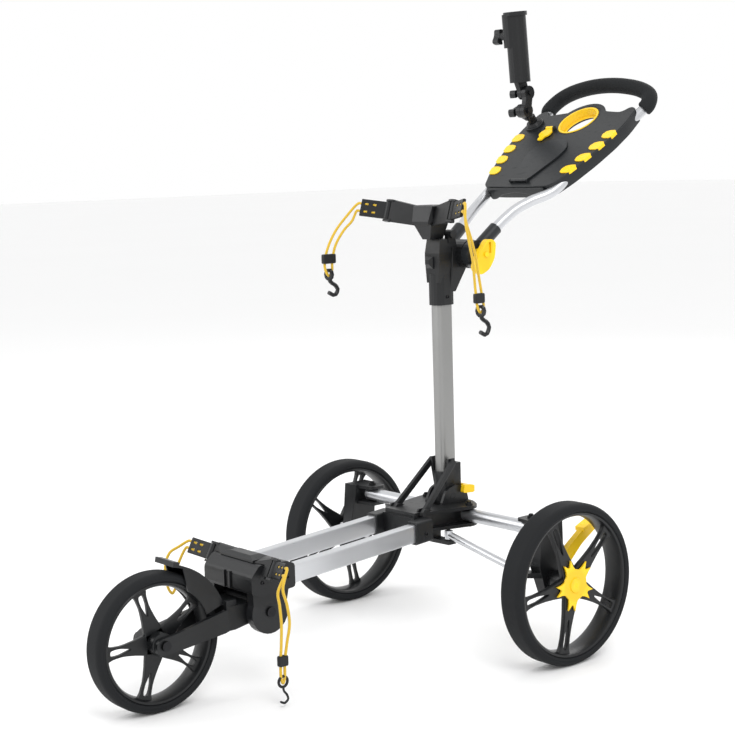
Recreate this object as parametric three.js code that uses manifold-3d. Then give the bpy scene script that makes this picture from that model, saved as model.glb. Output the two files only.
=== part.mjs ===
// Three-wheeled folding golf push trolley, in millimetres, +Z up.
// The user stands at +Y and pushes towards -Y, so the front wheel is at -Y and +X is the user's left.
// Everything is laid out from a chassis origin on the ground below the rear axle line; the last lines
// move the whole trolley so that the exported origin is the middle of its footprint.

import * as THREE from 'three';
import { mergeVertices } from 'three/addons/utils/BufferGeometryUtils.js';
import { ConvexGeometry } from 'three/addons/geometries/ConvexGeometry.js';
import Module from 'manifold-3d';

const wasm = await Module();
wasm.setup();

// ---------------------------------------------------------------- driving dimensions

const GAP = 0.3; // between fixed pieces that touch on the real trolley
const RUN = 0.6; // sideways play of a piece that turns or swings
const REACH = 2; // how far a cutting tool runs past the face it opens

const REAR_WHEEL_RADIUS = 145;
const FRONT_WHEEL_RADIUS = 118;
const TRACK = 614; // between the middles of the rear tyres
const WHEELBASE = 666;
const REAR_TYRE_WIDTH = 50;
const FRONT_TYRE_WIDTH = 46;
const TYRE_DEPTH = 15; // radial thickness of the foam tyre
const RIM_DEPTH = 7;
const SPOKES = 5;
const REAR_PHASE = -0.21; // turn of the lowest spoke from straight down
const FRONT_PHASE = -0.31;
const TYRE_SIDES = 32;
const AXLE_RADIUS = 5;

const BEAM_WIDTH = 20;
const BEAM_HEIGHT = 33;
const BEAM_WALL = 2;
const BEAM_MID_X = 56;
const BEAM_FRONT_Y = -421; // where a beam leaves the front housing
const BEAM_REAR_Y = -141; // where a beam enters the rear block
const BEAM_MID_Z = 208; // height of the beam's middle, half way along
const BEAM_SLOPE = 0.076; // radians, rising towards the rear
const BEAM_GRIP = 34; // length held inside each socket
const SOCKET_WALL = 4;

const FORK_PIVOT = { y: -473, z: 142 };
const FORK_ARM_X = 33; // middle of each fork blade
const FORK_ARM_THICKNESS = 8;
const FORK_ARM_WIDTH = 33;
const CHEEK_RADIUS = 38;
const KNUCKLE_RADIUS = 25;
const PIVOT_BOLT_RADIUS = 5;
const MUDGUARD_CLEARANCE = 10;
const MUDGUARD_THICKNESS = 4;

const ARM_PIVOT_X = 60;
const ARM_HEIGHT = 231;
const ARM_LENGTH = 162; // between the two upright pins of a rear arm
const ARM_TUBE_RADIUS = 12.5;
const ARM_TUBE_WALL = 1.8;
const ARM_PIN_RADIUS = 4;
const PLATE_THICKNESS = 6;
const ROD_OFFSET = { x: 13, y: -65 }; // link rod pins, from the arm pins
const ROD_INNER_Z = 206;
const ROD_OUTER_Z = 173;
const ROD_RADIUS = 7;
const CARRIER_INNER_X = 202;
const CARRIER_WALL_X = 242;
const CARRIER_OUTER_X = 276;

const MAST_PIVOT = { y: -8, z: 262 };
const MAST_WIDTH = 27;
const MAST_DEPTH = 36;
const MAST_CORNER = 10;
const MAST_WALL = 1.8;
const MAST_Y = -3;
const FOOT_TOP_Z = 309;
const HEAD_BOTTOM_Z = 625;
const MAST_GRIP = 50; // length of mast tube inside the foot and inside the head
const SLEEVE_WALL = 4;
const STRUT_FOOT = { x: 40, y: -96, z: 247 };
const STRUT_HEAD = { x: 29, y: -12, z: 327 };
const STRUT_WIDTH = 11;
const STRUT_THICKNESS = 7;
const STRUT_LEAN = 3; // extra room inboard of a strut's foot, because it leans inwards

const HANDLE_PIVOT = { y: 43, z: 718 };
const BARREL_RADIUS = 27;
const BARREL_HALF = 34.5;
const YOKE_THICKNESS = 18;
const HANDLE_TUBE_RADIUS = 10;
const HANDLE_SLEEVE_RADIUS = 12.8;
const GRIP_RADIUS = 15.5;
const LEVER_INNER_X = 61.6;

const CONSOLE_TILT = THREE.MathUtils.degToRad(35);
const CONSOLE_ORIGIN = { y: 295, z: 907 };
const CONSOLE_DEPTH = 27;
const CONSOLE_SKIN = 3.5;
const CUP_RADIUS = 44;
const CUP_CENTRE = { x: 2, v: 100 };
const CUP_RIM = 14;
const CUP_DEPTH = 20;
const CUP_MOUTH = 36;
const CUP_WALL = 4.5;
const CUP_SHELF = 3;
const PAD_COUNT = 4;

const UMBRELLA_BASE = { x: -108, v: 88 };
const UMBRELLA_TUBE_RADIUS = 21;
const UMBRELLA_BORE_RADIUS = 17;
const UMBRELLA_TUBE_LENGTH = 140;
const JOINT_RADIUS = 14;

const CORD_RADIUS = 2.5;

// ---------------------------------------------------------------- finishes

const finish = (color, roughness, metalness = 0) => ({ color, roughness, metalness });
const BLACK = finish(0x17181a, 0.5);
const YELLOW = finish(0xf2c414, 0.4);
const TYRE = finish(0x1b1d20, 0.8);
const FOAM = finish(0x191b1e, 0.9);
const SILVER = finish(0xc4c6ca, 0.32, 0.9);
const STEEL = finish(0x9a9c9f, 0.35, 1.0);
const ELASTIC = finish(0xf0bd10, 0.7);

// ---------------------------------------------------------------- solids

const v3 = (x, y, z) => new THREE.Vector3(x, y, z);

function bare(geometry) {
  const copy = geometry.clone();
  copy.deleteAttribute('normal');
  copy.deleteAttribute('uv');
  return mergeVertices(copy, 1e-3);
}

function toSolid(geometry) {
  const merged = bare(geometry);
  const vertProperties = new Float32Array(merged.attributes.position.array);
  const triVerts = new Uint32Array(merged.index.array);
  return new wasm.Manifold(new wasm.Mesh({ numProp: 3, vertProperties, triVerts }));
}

function fromSolid(solid) {
  const mesh = solid.getMesh();
  const geometry = new THREE.BufferGeometry();
  geometry.setAttribute('position', new THREE.BufferAttribute(new Float32Array(mesh.vertProperties), 3));
  geometry.setIndex(new THREE.BufferAttribute(new Uint32Array(mesh.triVerts), 1));
  geometry.computeVertexNormals();
  return geometry;
}

function join(...geometries) {
  return fromSolid(geometries.map(toSolid).reduce((sum, next) => sum.add(next)));
}

function cut(geometry, ...tools) {
  return fromSolid(tools.map(toSolid).reduce((sum, next) => sum.subtract(next), toSolid(geometry)));
}

function common(geometry, tool) {
  return fromSolid(toSolid(geometry).intersect(toSolid(tool)));
}

// Block between two opposite corners.
function block(x0, x1, y0, y1, z0, z1) {
  const geometry = new THREE.BoxGeometry(x1 - x0, y1 - y0, z1 - z0);
  return geometry.translate((x0 + x1) / 2, (y0 + y1) / 2, (z0 + z1) / 2);
}

// Round bar between two points.
function bar(from, to, radius, sides = 16, endRadius = radius) {
  const along = to.clone().sub(from);
  const geometry = new THREE.CylinderGeometry(endRadius, radius, along.length(), sides);
  geometry.applyQuaternion(new THREE.Quaternion().setFromUnitVectors(v3(0, 1, 0), along.normalize()));
  const middle = from.clone().add(to).multiplyScalar(0.5);
  return geometry.translate(middle.x, middle.y, middle.z);
}

const barX = (y, z, x0, x1, radius, sides = 12) => bar(v3(x0, y, z), v3(x1, y, z), radius, sides);
const barZ = (x, y, z0, z1, radius, sides) => bar(v3(x, y, z0), v3(x, y, z1), radius, sides);

// Convex lump through a list of points.
function lump(points) {
  return new ConvexGeometry(points.map((p) => v3(...p)));
}

// The eight corners of a block, for a lump between two blocks.
function corners(x0, x1, y0, y1, z0, z1) {
  const list = [];
  for (const x of [x0, x1]) {
    for (const y of [y0, y1]) {
      for (const z of [z0, z1]) {
        list.push([x, y, z]);
      }
    }
  }
  return list;
}

// Closed outline with every corner rounded.
function roundedShape(points, radius) {
  const shape = new THREE.Shape();
  const count = points.length;
  for (let i = 0; i < count; i += 1) {
    const here = new THREE.Vector2(...points[i]);
    const before = new THREE.Vector2(...points[(i + count - 1) % count]);
    const after = new THREE.Vector2(...points[(i + 1) % count]);
    const back = before.sub(here);
    const ahead = after.sub(here);
    const r = Math.min(radius, back.length() * 0.45, ahead.length() * 0.45);
    const start = here.clone().add(back.setLength(r));
    const end = here.clone().add(ahead.setLength(r));
    if (i === 0) {
      shape.moveTo(start.x, start.y);
    } else {
      shape.lineTo(start.x, start.y);
    }
    shape.quadraticCurveTo(here.x, here.y, end.x, end.y);
  }
  shape.closePath();
  return shape;
}

function rectangle(width, height, radius) {
  const w = width / 2;
  const h = height / 2;
  return roundedShape([[-w, -h], [w, -h], [w, h], [-w, h]], radius);
}

function circle(radius, x = 0, y = 0) {
  const path = new THREE.Shape();
  path.absarc(x, y, radius, 0, Math.PI * 2, false);
  return path;
}

function extrude(shape, depth, curveSegments) {
  return new THREE.ExtrudeGeometry(shape, { depth, bevelEnabled: false, curveSegments });
}

// Flat plate drawn in (Y, Z), from x0 to x1.
function plateX(shape, x0, x1, curveSegments = 2) {
  const turn = new THREE.Matrix4().makeBasis(v3(0, 1, 0), v3(0, 0, 1), v3(1, 0, 0));
  return extrude(shape, x1 - x0, curveSegments).applyMatrix4(turn).translate(x0, 0, 0);
}

// Flat plate drawn in (X, Y), from z0 to z1.
function plateZ(shape, z0, z1, curveSegments = 4) {
  return extrude(shape, z1 - z0, curveSegments).translate(0, 0, z0);
}

// Solid of revolution about the X axis; the profile is a list of [radius, x].
function turnedX(profile, sides) {
  const points = profile.map(([r, x]) => new THREE.Vector2(r, x));
  return new THREE.LatheGeometry(points, sides).rotateZ(-Math.PI / 2);
}

// Section swept along a smooth curve through hand-placed points.
function sweep(points, shape, steps, curveSegments, type = 'centripetal') {
  const path = new THREE.CatmullRomCurve3(points.map((p) => v3(...p)), false, type, 0.5);
  return new THREE.ExtrudeGeometry(shape, { steps, extrudePath: path, bevelEnabled: false, curveSegments });
}

const mirrored = (point, side) => [point[0] * side, point[1], point[2]];

function piece(name, geometry, { color, roughness, metalness }) {
  const material = new THREE.MeshStandardMaterial({ color, roughness, metalness });
  const mesh = new THREE.Mesh(geometry, material);
  mesh.name = name;
  return mesh;
}

function groupAt(x, y, z, ...children) {
  const group = new THREE.Group();
  group.position.set(x, y, z);
  group.add(...children);
  return group;
}

const SIDES = [
  { name: 'left', side: 1 },
  { name: 'right', side: -1 },
];

// ---------------------------------------------------------------- wheels

function tyre(radius, width) {
  const half = width / 2;
  const seat = radius - TYRE_DEPTH;
  const profile = [
    [seat, -half + 3],
    [seat + 4, -half],
    [radius - 4, -half + 3],
    [radius, -half + 11],
    [radius, half - 11],
    [radius - 4, half - 3],
    [seat + 4, half],
    [seat, half - 3],
    [seat, -half + 3],
  ];
  return join(turnedX(profile, TYRE_SIDES));
}

// One split spoke drawn from the hub outwards along +Z: a wide root, a waist and two legs at the rim.
function spokeShape(hub, reach) {
  const span = reach - hub;
  const shape = new THREE.Shape();
  shape.moveTo(19, hub * 0.4);
  shape.quadraticCurveTo(14, hub + span * 0.2, 9.5, hub + span * 0.55);
  shape.quadraticCurveTo(9, reach - 14, 14, reach);
  shape.lineTo(-14, reach);
  shape.quadraticCurveTo(-9, reach - 14, -9.5, hub + span * 0.55);
  shape.quadraticCurveTo(-14, hub + span * 0.2, -19, hub * 0.4);
  shape.closePath();
  const slot = new THREE.Path();
  const start = hub + span * 0.42;
  const end = reach - 9;
  slot.moveTo(0, start);
  slot.quadraticCurveTo(-6, (start + end) / 2, -5, end);
  slot.lineTo(5, end);
  slot.quadraticCurveTo(6, (start + end) / 2, 0, start);
  shape.holes.push(slot);
  return shape;
}

// Rim with hub and spokes. The spoke web lies at spokeX, the hub runs from hubFrom to hubTo.
function rim({ radius, width, hubRadius, hub, spokeX, spokeThickness, phase }) {
  const [hubFrom, hubTo] = hub;
  const outer = radius - TYRE_DEPTH - GAP;
  const inner = outer - RIM_DEPTH;
  const rimHalf = width / 2 - 4;
  const lip = inner - 2;
  const barrel = turnedX([
    [inner, -rimHalf],
    [outer, -rimHalf],
    [outer, rimHalf],
    [inner, rimHalf],
    [lip, 0],
    [inner, -rimHalf],
  ], TYRE_SIDES);
  const boss = bar(v3(hubFrom, 0, 0), v3(hubTo, 0, 0), hubRadius, 16);
  const spokes = [];
  for (let i = 0; i < SPOKES; i += 1) {
    const half = spokeThickness / 2;
    const web = plateX(spokeShape(hubRadius, inner + 2), spokeX - half, spokeX + half, 2);
    spokes.push(web.rotateX((i / SPOKES) * Math.PI * 2 + Math.PI + phase));
  }
  const bore = bar(v3(hubFrom - REACH, 0, 0), v3(hubTo + REACH, 0, 0), AXLE_RADIUS + GAP, 12);
  return cut(join(barrel, boss, ...spokes), bore);
}

// Yellow cover over the hub with five forked points.
function hubStar(hubX) {
  const shape = new THREE.Shape();
  const arm = [[28, -0.628], [28.5, -0.42], [35, -0.27], [47, -0.19], [36, -0.05]];
  const outline = [...arm, ...arm.slice(1).reverse().map(([r, angle]) => [r, -angle])];
  for (let i = 0; i < SPOKES; i += 1) {
    const mid = (i / SPOKES) * Math.PI * 2;
    const at = ([r, angle]) => [-r * Math.sin(mid + angle), r * Math.cos(mid + angle)];
    const fork = outline.map(at);
    fork.forEach(([u, w], k) => {
      if (i === 0 && k === 0) {
        shape.moveTo(u, w);
      } else {
        shape.lineTo(u, w);
      }
    });
  }
  shape.closePath();
  const cap = bar(v3(hubX, 0, 0), v3(hubX + 5, 0, 0), 15, 20, 13);
  return join(plateX(shape, hubX, hubX + 3).rotateX(Math.PI + REAR_PHASE), cap);
}

const FRONT_HUB_HALF = FORK_ARM_X - FORK_ARM_THICKNESS / 2 - RUN;

function frontWheel() {
  const geometry = rim({
    radius: FRONT_WHEEL_RADIUS,
    width: FRONT_TYRE_WIDTH,
    hubRadius: 20,
    hub: [-FRONT_HUB_HALF, FRONT_HUB_HALF],
    spokeX: 8,
    spokeThickness: 9,
    phase: FRONT_PHASE,
  });
  return groupAt(
    0,
    -WHEELBASE,
    FRONT_WHEEL_RADIUS,
    piece('front_tyre', tyre(FRONT_WHEEL_RADIUS, FRONT_TYRE_WIDTH), TYRE),
    piece('front_rim', geometry, BLACK),
  );
}

const STUB_FACE_X = TRACK / 2 - REAR_TYRE_WIDTH / 2 + 3; // where the carrier's boss meets the hub
const HUB_FACE_X = TRACK / 2 + REAR_TYRE_WIDTH / 2 - 7; // outer face of the rear hub

function rearWheel({ name, side }) {
  const hubFrom = STUB_FACE_X + RUN - TRACK / 2;
  const hubTo = HUB_FACE_X - TRACK / 2;
  const spokeX = hubTo - 6;
  const wheel = rim({
    radius: REAR_WHEEL_RADIUS,
    width: REAR_TYRE_WIDTH,
    hubRadius: 22,
    hub: [hubFrom, hubTo],
    spokeX,
    spokeThickness: 10,
    phase: REAR_PHASE,
  });
  const pocket = bar(v3(hubTo - 7, 0, 0), v3(hubTo + REACH, 0, 0), 10, 16);
  const group = groupAt(
    side * TRACK / 2,
    0,
    REAR_WHEEL_RADIUS,
    piece(`rear_tyre_${name}`, tyre(REAR_WHEEL_RADIUS, REAR_TYRE_WIDTH), TYRE),
    piece(`rear_rim_${name}`, cut(wheel, pocket), BLACK),
    piece(`hub_star_${name}`, hubStar(hubTo + GAP), YELLOW),
  );
  if (side < 0) {
    group.rotation.z = Math.PI;
  }
  return group;
}

// ---------------------------------------------------------------- beams and chassis castings

const beamTopAt = (y) => BEAM_MID_Z + BEAM_HEIGHT / 2 + (y - BEAM_MID_Y) * Math.tan(BEAM_SLOPE);
const BEAM_MID_Y = (BEAM_FRONT_Y + BEAM_REAR_Y) / 2;
const BEAM_LENGTH = (BEAM_REAR_Y - BEAM_FRONT_Y) / Math.cos(BEAM_SLOPE) + 2 * BEAM_GRIP;

// A length of beam section, turned into the beam's slope, centred on the beam's middle.
function beamSection(width, height, length, x, radius, hole) {
  const shape = rectangle(width, height, radius);
  if (hole) {
    shape.holes.push(hole);
  }
  const stock = extrude(shape, length, 3).translate(0, 0, -length / 2);
  stock.rotateX(-Math.PI / 2);
  stock.rotateX(BEAM_SLOPE);
  return stock.translate(x, BEAM_MID_Y, BEAM_MID_Z);
}

function beam({ name, side }) {
  const hole = rectangle(BEAM_WIDTH - 2 * BEAM_WALL, BEAM_HEIGHT - 2 * BEAM_WALL, 2);
  const stock = beamSection(BEAM_WIDTH, BEAM_HEIGHT, BEAM_LENGTH, side * BEAM_MID_X, 3.5, hole);
  return piece(`beam_${name}`, stock, SILVER);
}

const beamCavity = (side) => {
  const size = 2 * GAP;
  return beamSection(BEAM_WIDTH + size, BEAM_HEIGHT + size, BEAM_LENGTH + size, side * BEAM_MID_X, 3.5);
};

const SOCKET_HALF = BEAM_WIDTH / 2 + SOCKET_WALL;
const SOCKET_INNER_X = BEAM_MID_X - SOCKET_HALF;
const SOCKET_OUTER_X = BEAM_MID_X + SOCKET_HALF;
const CHEEK_IN_X = BEAM_MID_X - 7;
const CHEEK_OUT_X = BEAM_MID_X + BEAM_WIDTH / 2;

function frontHousing() {
  const { y: py, z: pz } = FORK_PIVOT;
  const low = beamTopAt(BEAM_FRONT_Y) - BEAM_HEIGHT - SOCKET_WALL;
  const high = beamTopAt(BEAM_FRONT_Y) + SOCKET_WALL;
  const body = roundedShape([
    [BEAM_FRONT_Y, low],
    [BEAM_FRONT_Y, high],
    [BEAM_FRONT_Y - 18, high + 7],
    [py - 22, high + 9],
    [py - 40, high - 10],
    [py - 40, low + 2],
    [py - 18, low - 6],
  ], 5);
  const solids = [plateX(body, -SOCKET_OUTER_X, SOCKET_OUTER_X)];
  for (const { side } of SIDES) {
    const x0 = Math.min(side * CHEEK_IN_X, side * CHEEK_OUT_X);
    const x1 = Math.max(side * CHEEK_IN_X, side * CHEEK_OUT_X);
    solids.push(barX(py, pz, x0, x1, CHEEK_RADIUS, 28));
    const web = roundedShape([
      [py - CHEEK_RADIUS + 4, pz + 8],
      [py + CHEEK_RADIUS - 4, pz + 8],
      [py + 42, low + 6],
      [py - 36, low + 12],
    ], 4);
    solids.push(plateX(web, x0, x1));
  }
  const ribs = [-8, 8].map((dx) => block(dx - 2, dx + 2, py - 43, py - 30, low + 4, high - 8));
  const tools = [beamCavity(1), beamCavity(-1)];
  const bolt = PIVOT_BOLT_RADIUS + GAP;
  tools.push(barX(py, pz, -CHEEK_OUT_X - REACH, CHEEK_OUT_X + REACH, bolt, 12));
  return piece('front_housing', cut(join(...solids, ...ribs), ...tools), BLACK);
}

function pivotBolt(name, y, z, half, radius, headRadius, headLength) {
  const shank = barX(y, z, -half - headLength + 1, half + headLength - 1, radius, 12);
  const heads = [-1, 1].map((s) => {
    const inner = s * (half + GAP);
    const outer = s * (half + headLength);
    return barX(y, z, Math.min(inner, outer), Math.max(inner, outer), headRadius, 12);
  });
  return piece(name, join(shank, ...heads), STEEL);
}

// Cradle arm: a leaning blade from the root to the hinge of its tip.
function blade(rootLow, rootHigh, tipLow, tipHigh, thickness) {
  const points = [];
  for (const [low, high] of [[rootLow, rootHigh], [tipLow, tipHigh]]) {
    for (const p of [low, high]) {
      points.push(p, [p[0], p[1] + thickness, p[2]]);
    }
  }
  return lump(points);
}

// Hinged tip of a cradle arm: a slotted plate with a round barrel at its inner end.
function cradleTip(height, length, thickness, barrelRadius) {
  const gripX0 = barrelRadius * 0.6;
  const plate = plateX(rectangle(thickness, height, 2), gripX0, length, 2);
  const barrel = barZ(0, 0, -height / 2, height / 2, barrelRadius, 14);
  const slots = [];
  for (const x of [length * 0.5, length * 0.8]) {
    for (const z of [-height * 0.22, height * 0.22]) {
      slots.push(block(x - 4, x + 4, -thickness, thickness, z - 2.6, z + 2.6));
    }
  }
  const pin = barZ(0, 0, -height, height, 2.2, 8);
  return cut(join(plate, barrel), ...slots, pin);
}

const TIP_THICKNESS = 6;
const TIP_BARREL = 6;

// Where a point of a tip (along, through, up) lies on the trolley.
function onTip({ hinge, swing, lean }, side, along, through, up) {
  const point = v3(along, through, up).applyAxisAngle(v3(0, 0, 1), -swing).applyAxisAngle(v3(1, 0, 0), -lean);
  return mirrored(point.add(v3(...hinge)).toArray(), side);
}

// Group that carries a tip: hinge point, sideways swing and rearward lean of the plate.
function tipGroup(hinge, side, swing, lean, mesh) {
  mesh.geometry = forSide(mesh.geometry, side);
  const inner = groupAt(0, 0, 0, mesh);
  inner.rotation.z = -swing * side;
  const group = groupAt(...mirrored(hinge, side), inner);
  group.rotation.x = -lean;
  return group;
}

// Lower cradle: leans back over the front housing.
const LOWER_TIP = { hinge: [92, -482, 221], height: 29, length: 48, swing: 0.3, lean: 0.5 };
const UPPER_TIP = { hinge: [90, -52, 802], height: 33, length: 56, swing: 0.44, lean: 0.3 };

const TIP_PIN_RADIUS = 1.9;

// Ears above and below a tip's barrel, with the pin between them.
function tipEars({ hinge, height, lean }, side) {
  const up = v3(0, Math.sin(lean), Math.cos(lean));
  const out = v3(0, Math.cos(lean), -Math.sin(lean));
  const at = (dx, dn, du) => {
    const point = v3(...hinge).addScaledVector(out, dn).addScaledVector(up, du);
    return mirrored([point.x + dx, point.y, point.z], side);
  };
  const near = height / 2 + RUN;
  const far = height / 2 + EAR_REACH;
  const solids = [-1, 1].map((s) => {
    const points = [];
    for (const du of [s * near, s * far]) {
      for (const dn of [-6, 6]) {
        points.push(at(5, dn * 0.7, du), at(-4, dn, du), at(-TIP_BARREL - 8, dn * 0.5, du));
      }
    }
    return lump(points);
  });
  solids.push(bar(v3(...at(0, 0, -near - 1)), v3(...at(0, 0, near + 1)), TIP_PIN_RADIUS, 8));
  return solids;
}

const EAR_REACH = 4.5;

function lowerCradle() {
  const top = beamTopAt(BEAM_FRONT_Y) + SOCKET_WALL + 9 + GAP;
  const { hinge, height, lean } = LOWER_TIP;
  const half = height / 2 + EAR_REACH;
  const solids = [lump([
    ...corners(-48, 48, FORK_PIVOT.y - 20, FORK_PIVOT.y + 18, top, top + 4),
    ...corners(-30, 30, FORK_PIVOT.y - 12, FORK_PIVOT.y + 8, top, top + 9),
  ])];
  for (const { side } of SIDES) {
    const dy = half * Math.sin(lean);
    const dz = half * Math.cos(lean);
    const tipX = hinge[0] - TIP_BARREL - 3;
    const arm = blade(
      mirrored([40, FORK_PIVOT.y - 20, top], side),
      mirrored([40, FORK_PIVOT.y + 8, top + 5], side),
      mirrored([tipX, hinge[1] - dy - 3, hinge[2] - dz], side),
      mirrored([tipX, hinge[1] + dy - 3, hinge[2] + dz], side),
      7,
    );
    solids.push(arm, ...tipEars(LOWER_TIP, side));
  }
  const clearHalf = SOCKET_OUTER_X + 1;
  const clear = block(-clearHalf, clearHalf, FORK_PIVOT.y - 80, FORK_PIVOT.y + 80, top - 80, top);
  return piece('lower_bag_cradle', cut(join(...solids), clear), BLACK);
}

// ---------------------------------------------------------------- front fork

function fork() {
  const { y: py, z: pz } = FORK_PIVOT;
  const crownY = -WHEELBASE + FRONT_WHEEL_RADIUS + MUDGUARD_CLEARANCE;
  const knuckleHalf = CHEEK_IN_X - RUN;
  const armOut = FORK_ARM_X + FORK_ARM_THICKNESS / 2;
  const armIn = FORK_ARM_X - FORK_ARM_THICKNESS / 2;
  const solids = [barX(py, pz, -knuckleHalf, knuckleHalf, KNUCKLE_RADIUS, 20)];
  solids.push(lump([
    ...corners(-armOut, armOut, crownY, crownY + 12, pz - 26, pz + 16),
    ...corners(-knuckleHalf + 6, knuckleHalf - 6, py - 18, py - 10, pz - 16, pz + 16),
  ]));
  for (const { side } of SIDES) {
    const x0 = side > 0 ? armIn : -armOut;
    const x1 = side > 0 ? armOut : -armIn;
    const half = FORK_ARM_WIDTH / 2;
    const outline = roundedShape([
      [-WHEELBASE - half, FRONT_WHEEL_RADIUS - half + 2],
      [-WHEELBASE + 6, FRONT_WHEEL_RADIUS - half],
      [crownY + 4, pz - 27],
      [crownY + 12, pz + 14],
      [-WHEELBASE + 20, FRONT_WHEEL_RADIUS + half - 2],
      [-WHEELBASE - half, FRONT_WHEEL_RADIUS + half - 6],
    ], 12);
    solids.push(plateX(outline, x0, x1, 3));
    const lug = block(x0, x1, py - 70, py - 50, pz + 10, pz + 26);
    solids.push(lug);
  }
  const axle = barX(-WHEELBASE, FRONT_WHEEL_RADIUS, -armOut - REACH, armOut + REACH, AXLE_RADIUS + GAP, 12);
  const pivot = barX(py, pz, -knuckleHalf - REACH, knuckleHalf + REACH, PIVOT_BOLT_RADIUS + GAP, 12);
  return piece('fork', cut(join(...solids), axle, pivot), BLACK);
}

function mudguard() {
  const inner = FRONT_WHEEL_RADIUS + MUDGUARD_CLEARANCE;
  const outer = inner + MUDGUARD_THICKNESS;
  const half = FRONT_TYRE_WIDTH / 2 + 4.5;
  const from = THREE.MathUtils.degToRad(20);
  const to = THREE.MathUtils.degToRad(78);
  const shape = new THREE.Shape();
  shape.absarc(0, 0, outer, from, to, false);
  shape.absarc(0, 0, inner, to, from, true);
  shape.closePath();
  const skirt = new THREE.Shape();
  const skirtTo = THREE.MathUtils.degToRad(70);
  skirt.absarc(0, 0, outer, from, skirtTo, false);
  skirt.absarc(0, 0, inner - 32, skirtTo - 0.25, from, true);
  skirt.closePath();
  const lip = new THREE.Shape();
  lip.absarc(0, 0, outer + 5, to - 0.09, to, false);
  lip.absarc(0, 0, inner, to, to - 0.09, true);
  lip.closePath();
  const solids = [plateX(shape, -half, half, 6), plateX(lip, -half, half, 1)];
  for (const { side } of SIDES) {
    const x0 = side > 0 ? half - 3 : -half;
    solids.push(plateX(skirt, x0, x0 + 3, 5));
  }
  const shell = join(...solids);
  shell.translate(0, -WHEELBASE, FRONT_WHEEL_RADIUS);
  return piece('mudguard', shell, BLACK);
}

function frontAssembly() {
  const armOut = FORK_ARM_X + FORK_ARM_THICKNESS / 2;
  const axle = pivotBolt('front_axle', -WHEELBASE, FRONT_WHEEL_RADIUS, armOut, AXLE_RADIUS, 8.5, 5);
  return groupAt(0, 0, 0, fork(), mudguard(), axle, frontWheel());
}

// ---------------------------------------------------------------- rear block

const PLATE_GAP = ARM_TUBE_RADIUS + RUN; // from the arm's axis to the clevis plates
const NECK_X = ARM_PIVOT_X - 19; // half width of the block beside the arm ends
const SOCKET_REAR_Y = BEAM_REAR_Y + BEAM_GRIP + 6;
const FOOT_HALF_X = MAST_WIDTH / 2 + SLEEVE_WALL;
const FOOT_HALF_Y = MAST_DEPTH / 2 + SLEEVE_WALL;
const HINGE_CHEEK_X = FOOT_HALF_X + RUN;
const HINGE_CHEEK = 6;
const PLATE_TOP = ARM_HEIGHT + PLATE_GAP + PLATE_THICKNESS;
const TRUNNION_RADIUS = 6;

function clevisPlate(z0) {
  const x = ARM_PIVOT_X + 6;
  const shape = roundedShape([
    [-x, 16],
    [-x - 8, 0],
    [-x - 4, -16],
    [-NECK_X - 4, SOCKET_REAR_Y - 10],
    [NECK_X + 4, SOCKET_REAR_Y - 10],
    [x + 4, -16],
    [x + 8, 0],
    [x, 16],
    [NECK_X - 6, 34],
    [-NECK_X + 6, 34],
  ], 7);
  return plateZ(shape, z0, z0 + PLATE_THICKNESS, 2);
}

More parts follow.
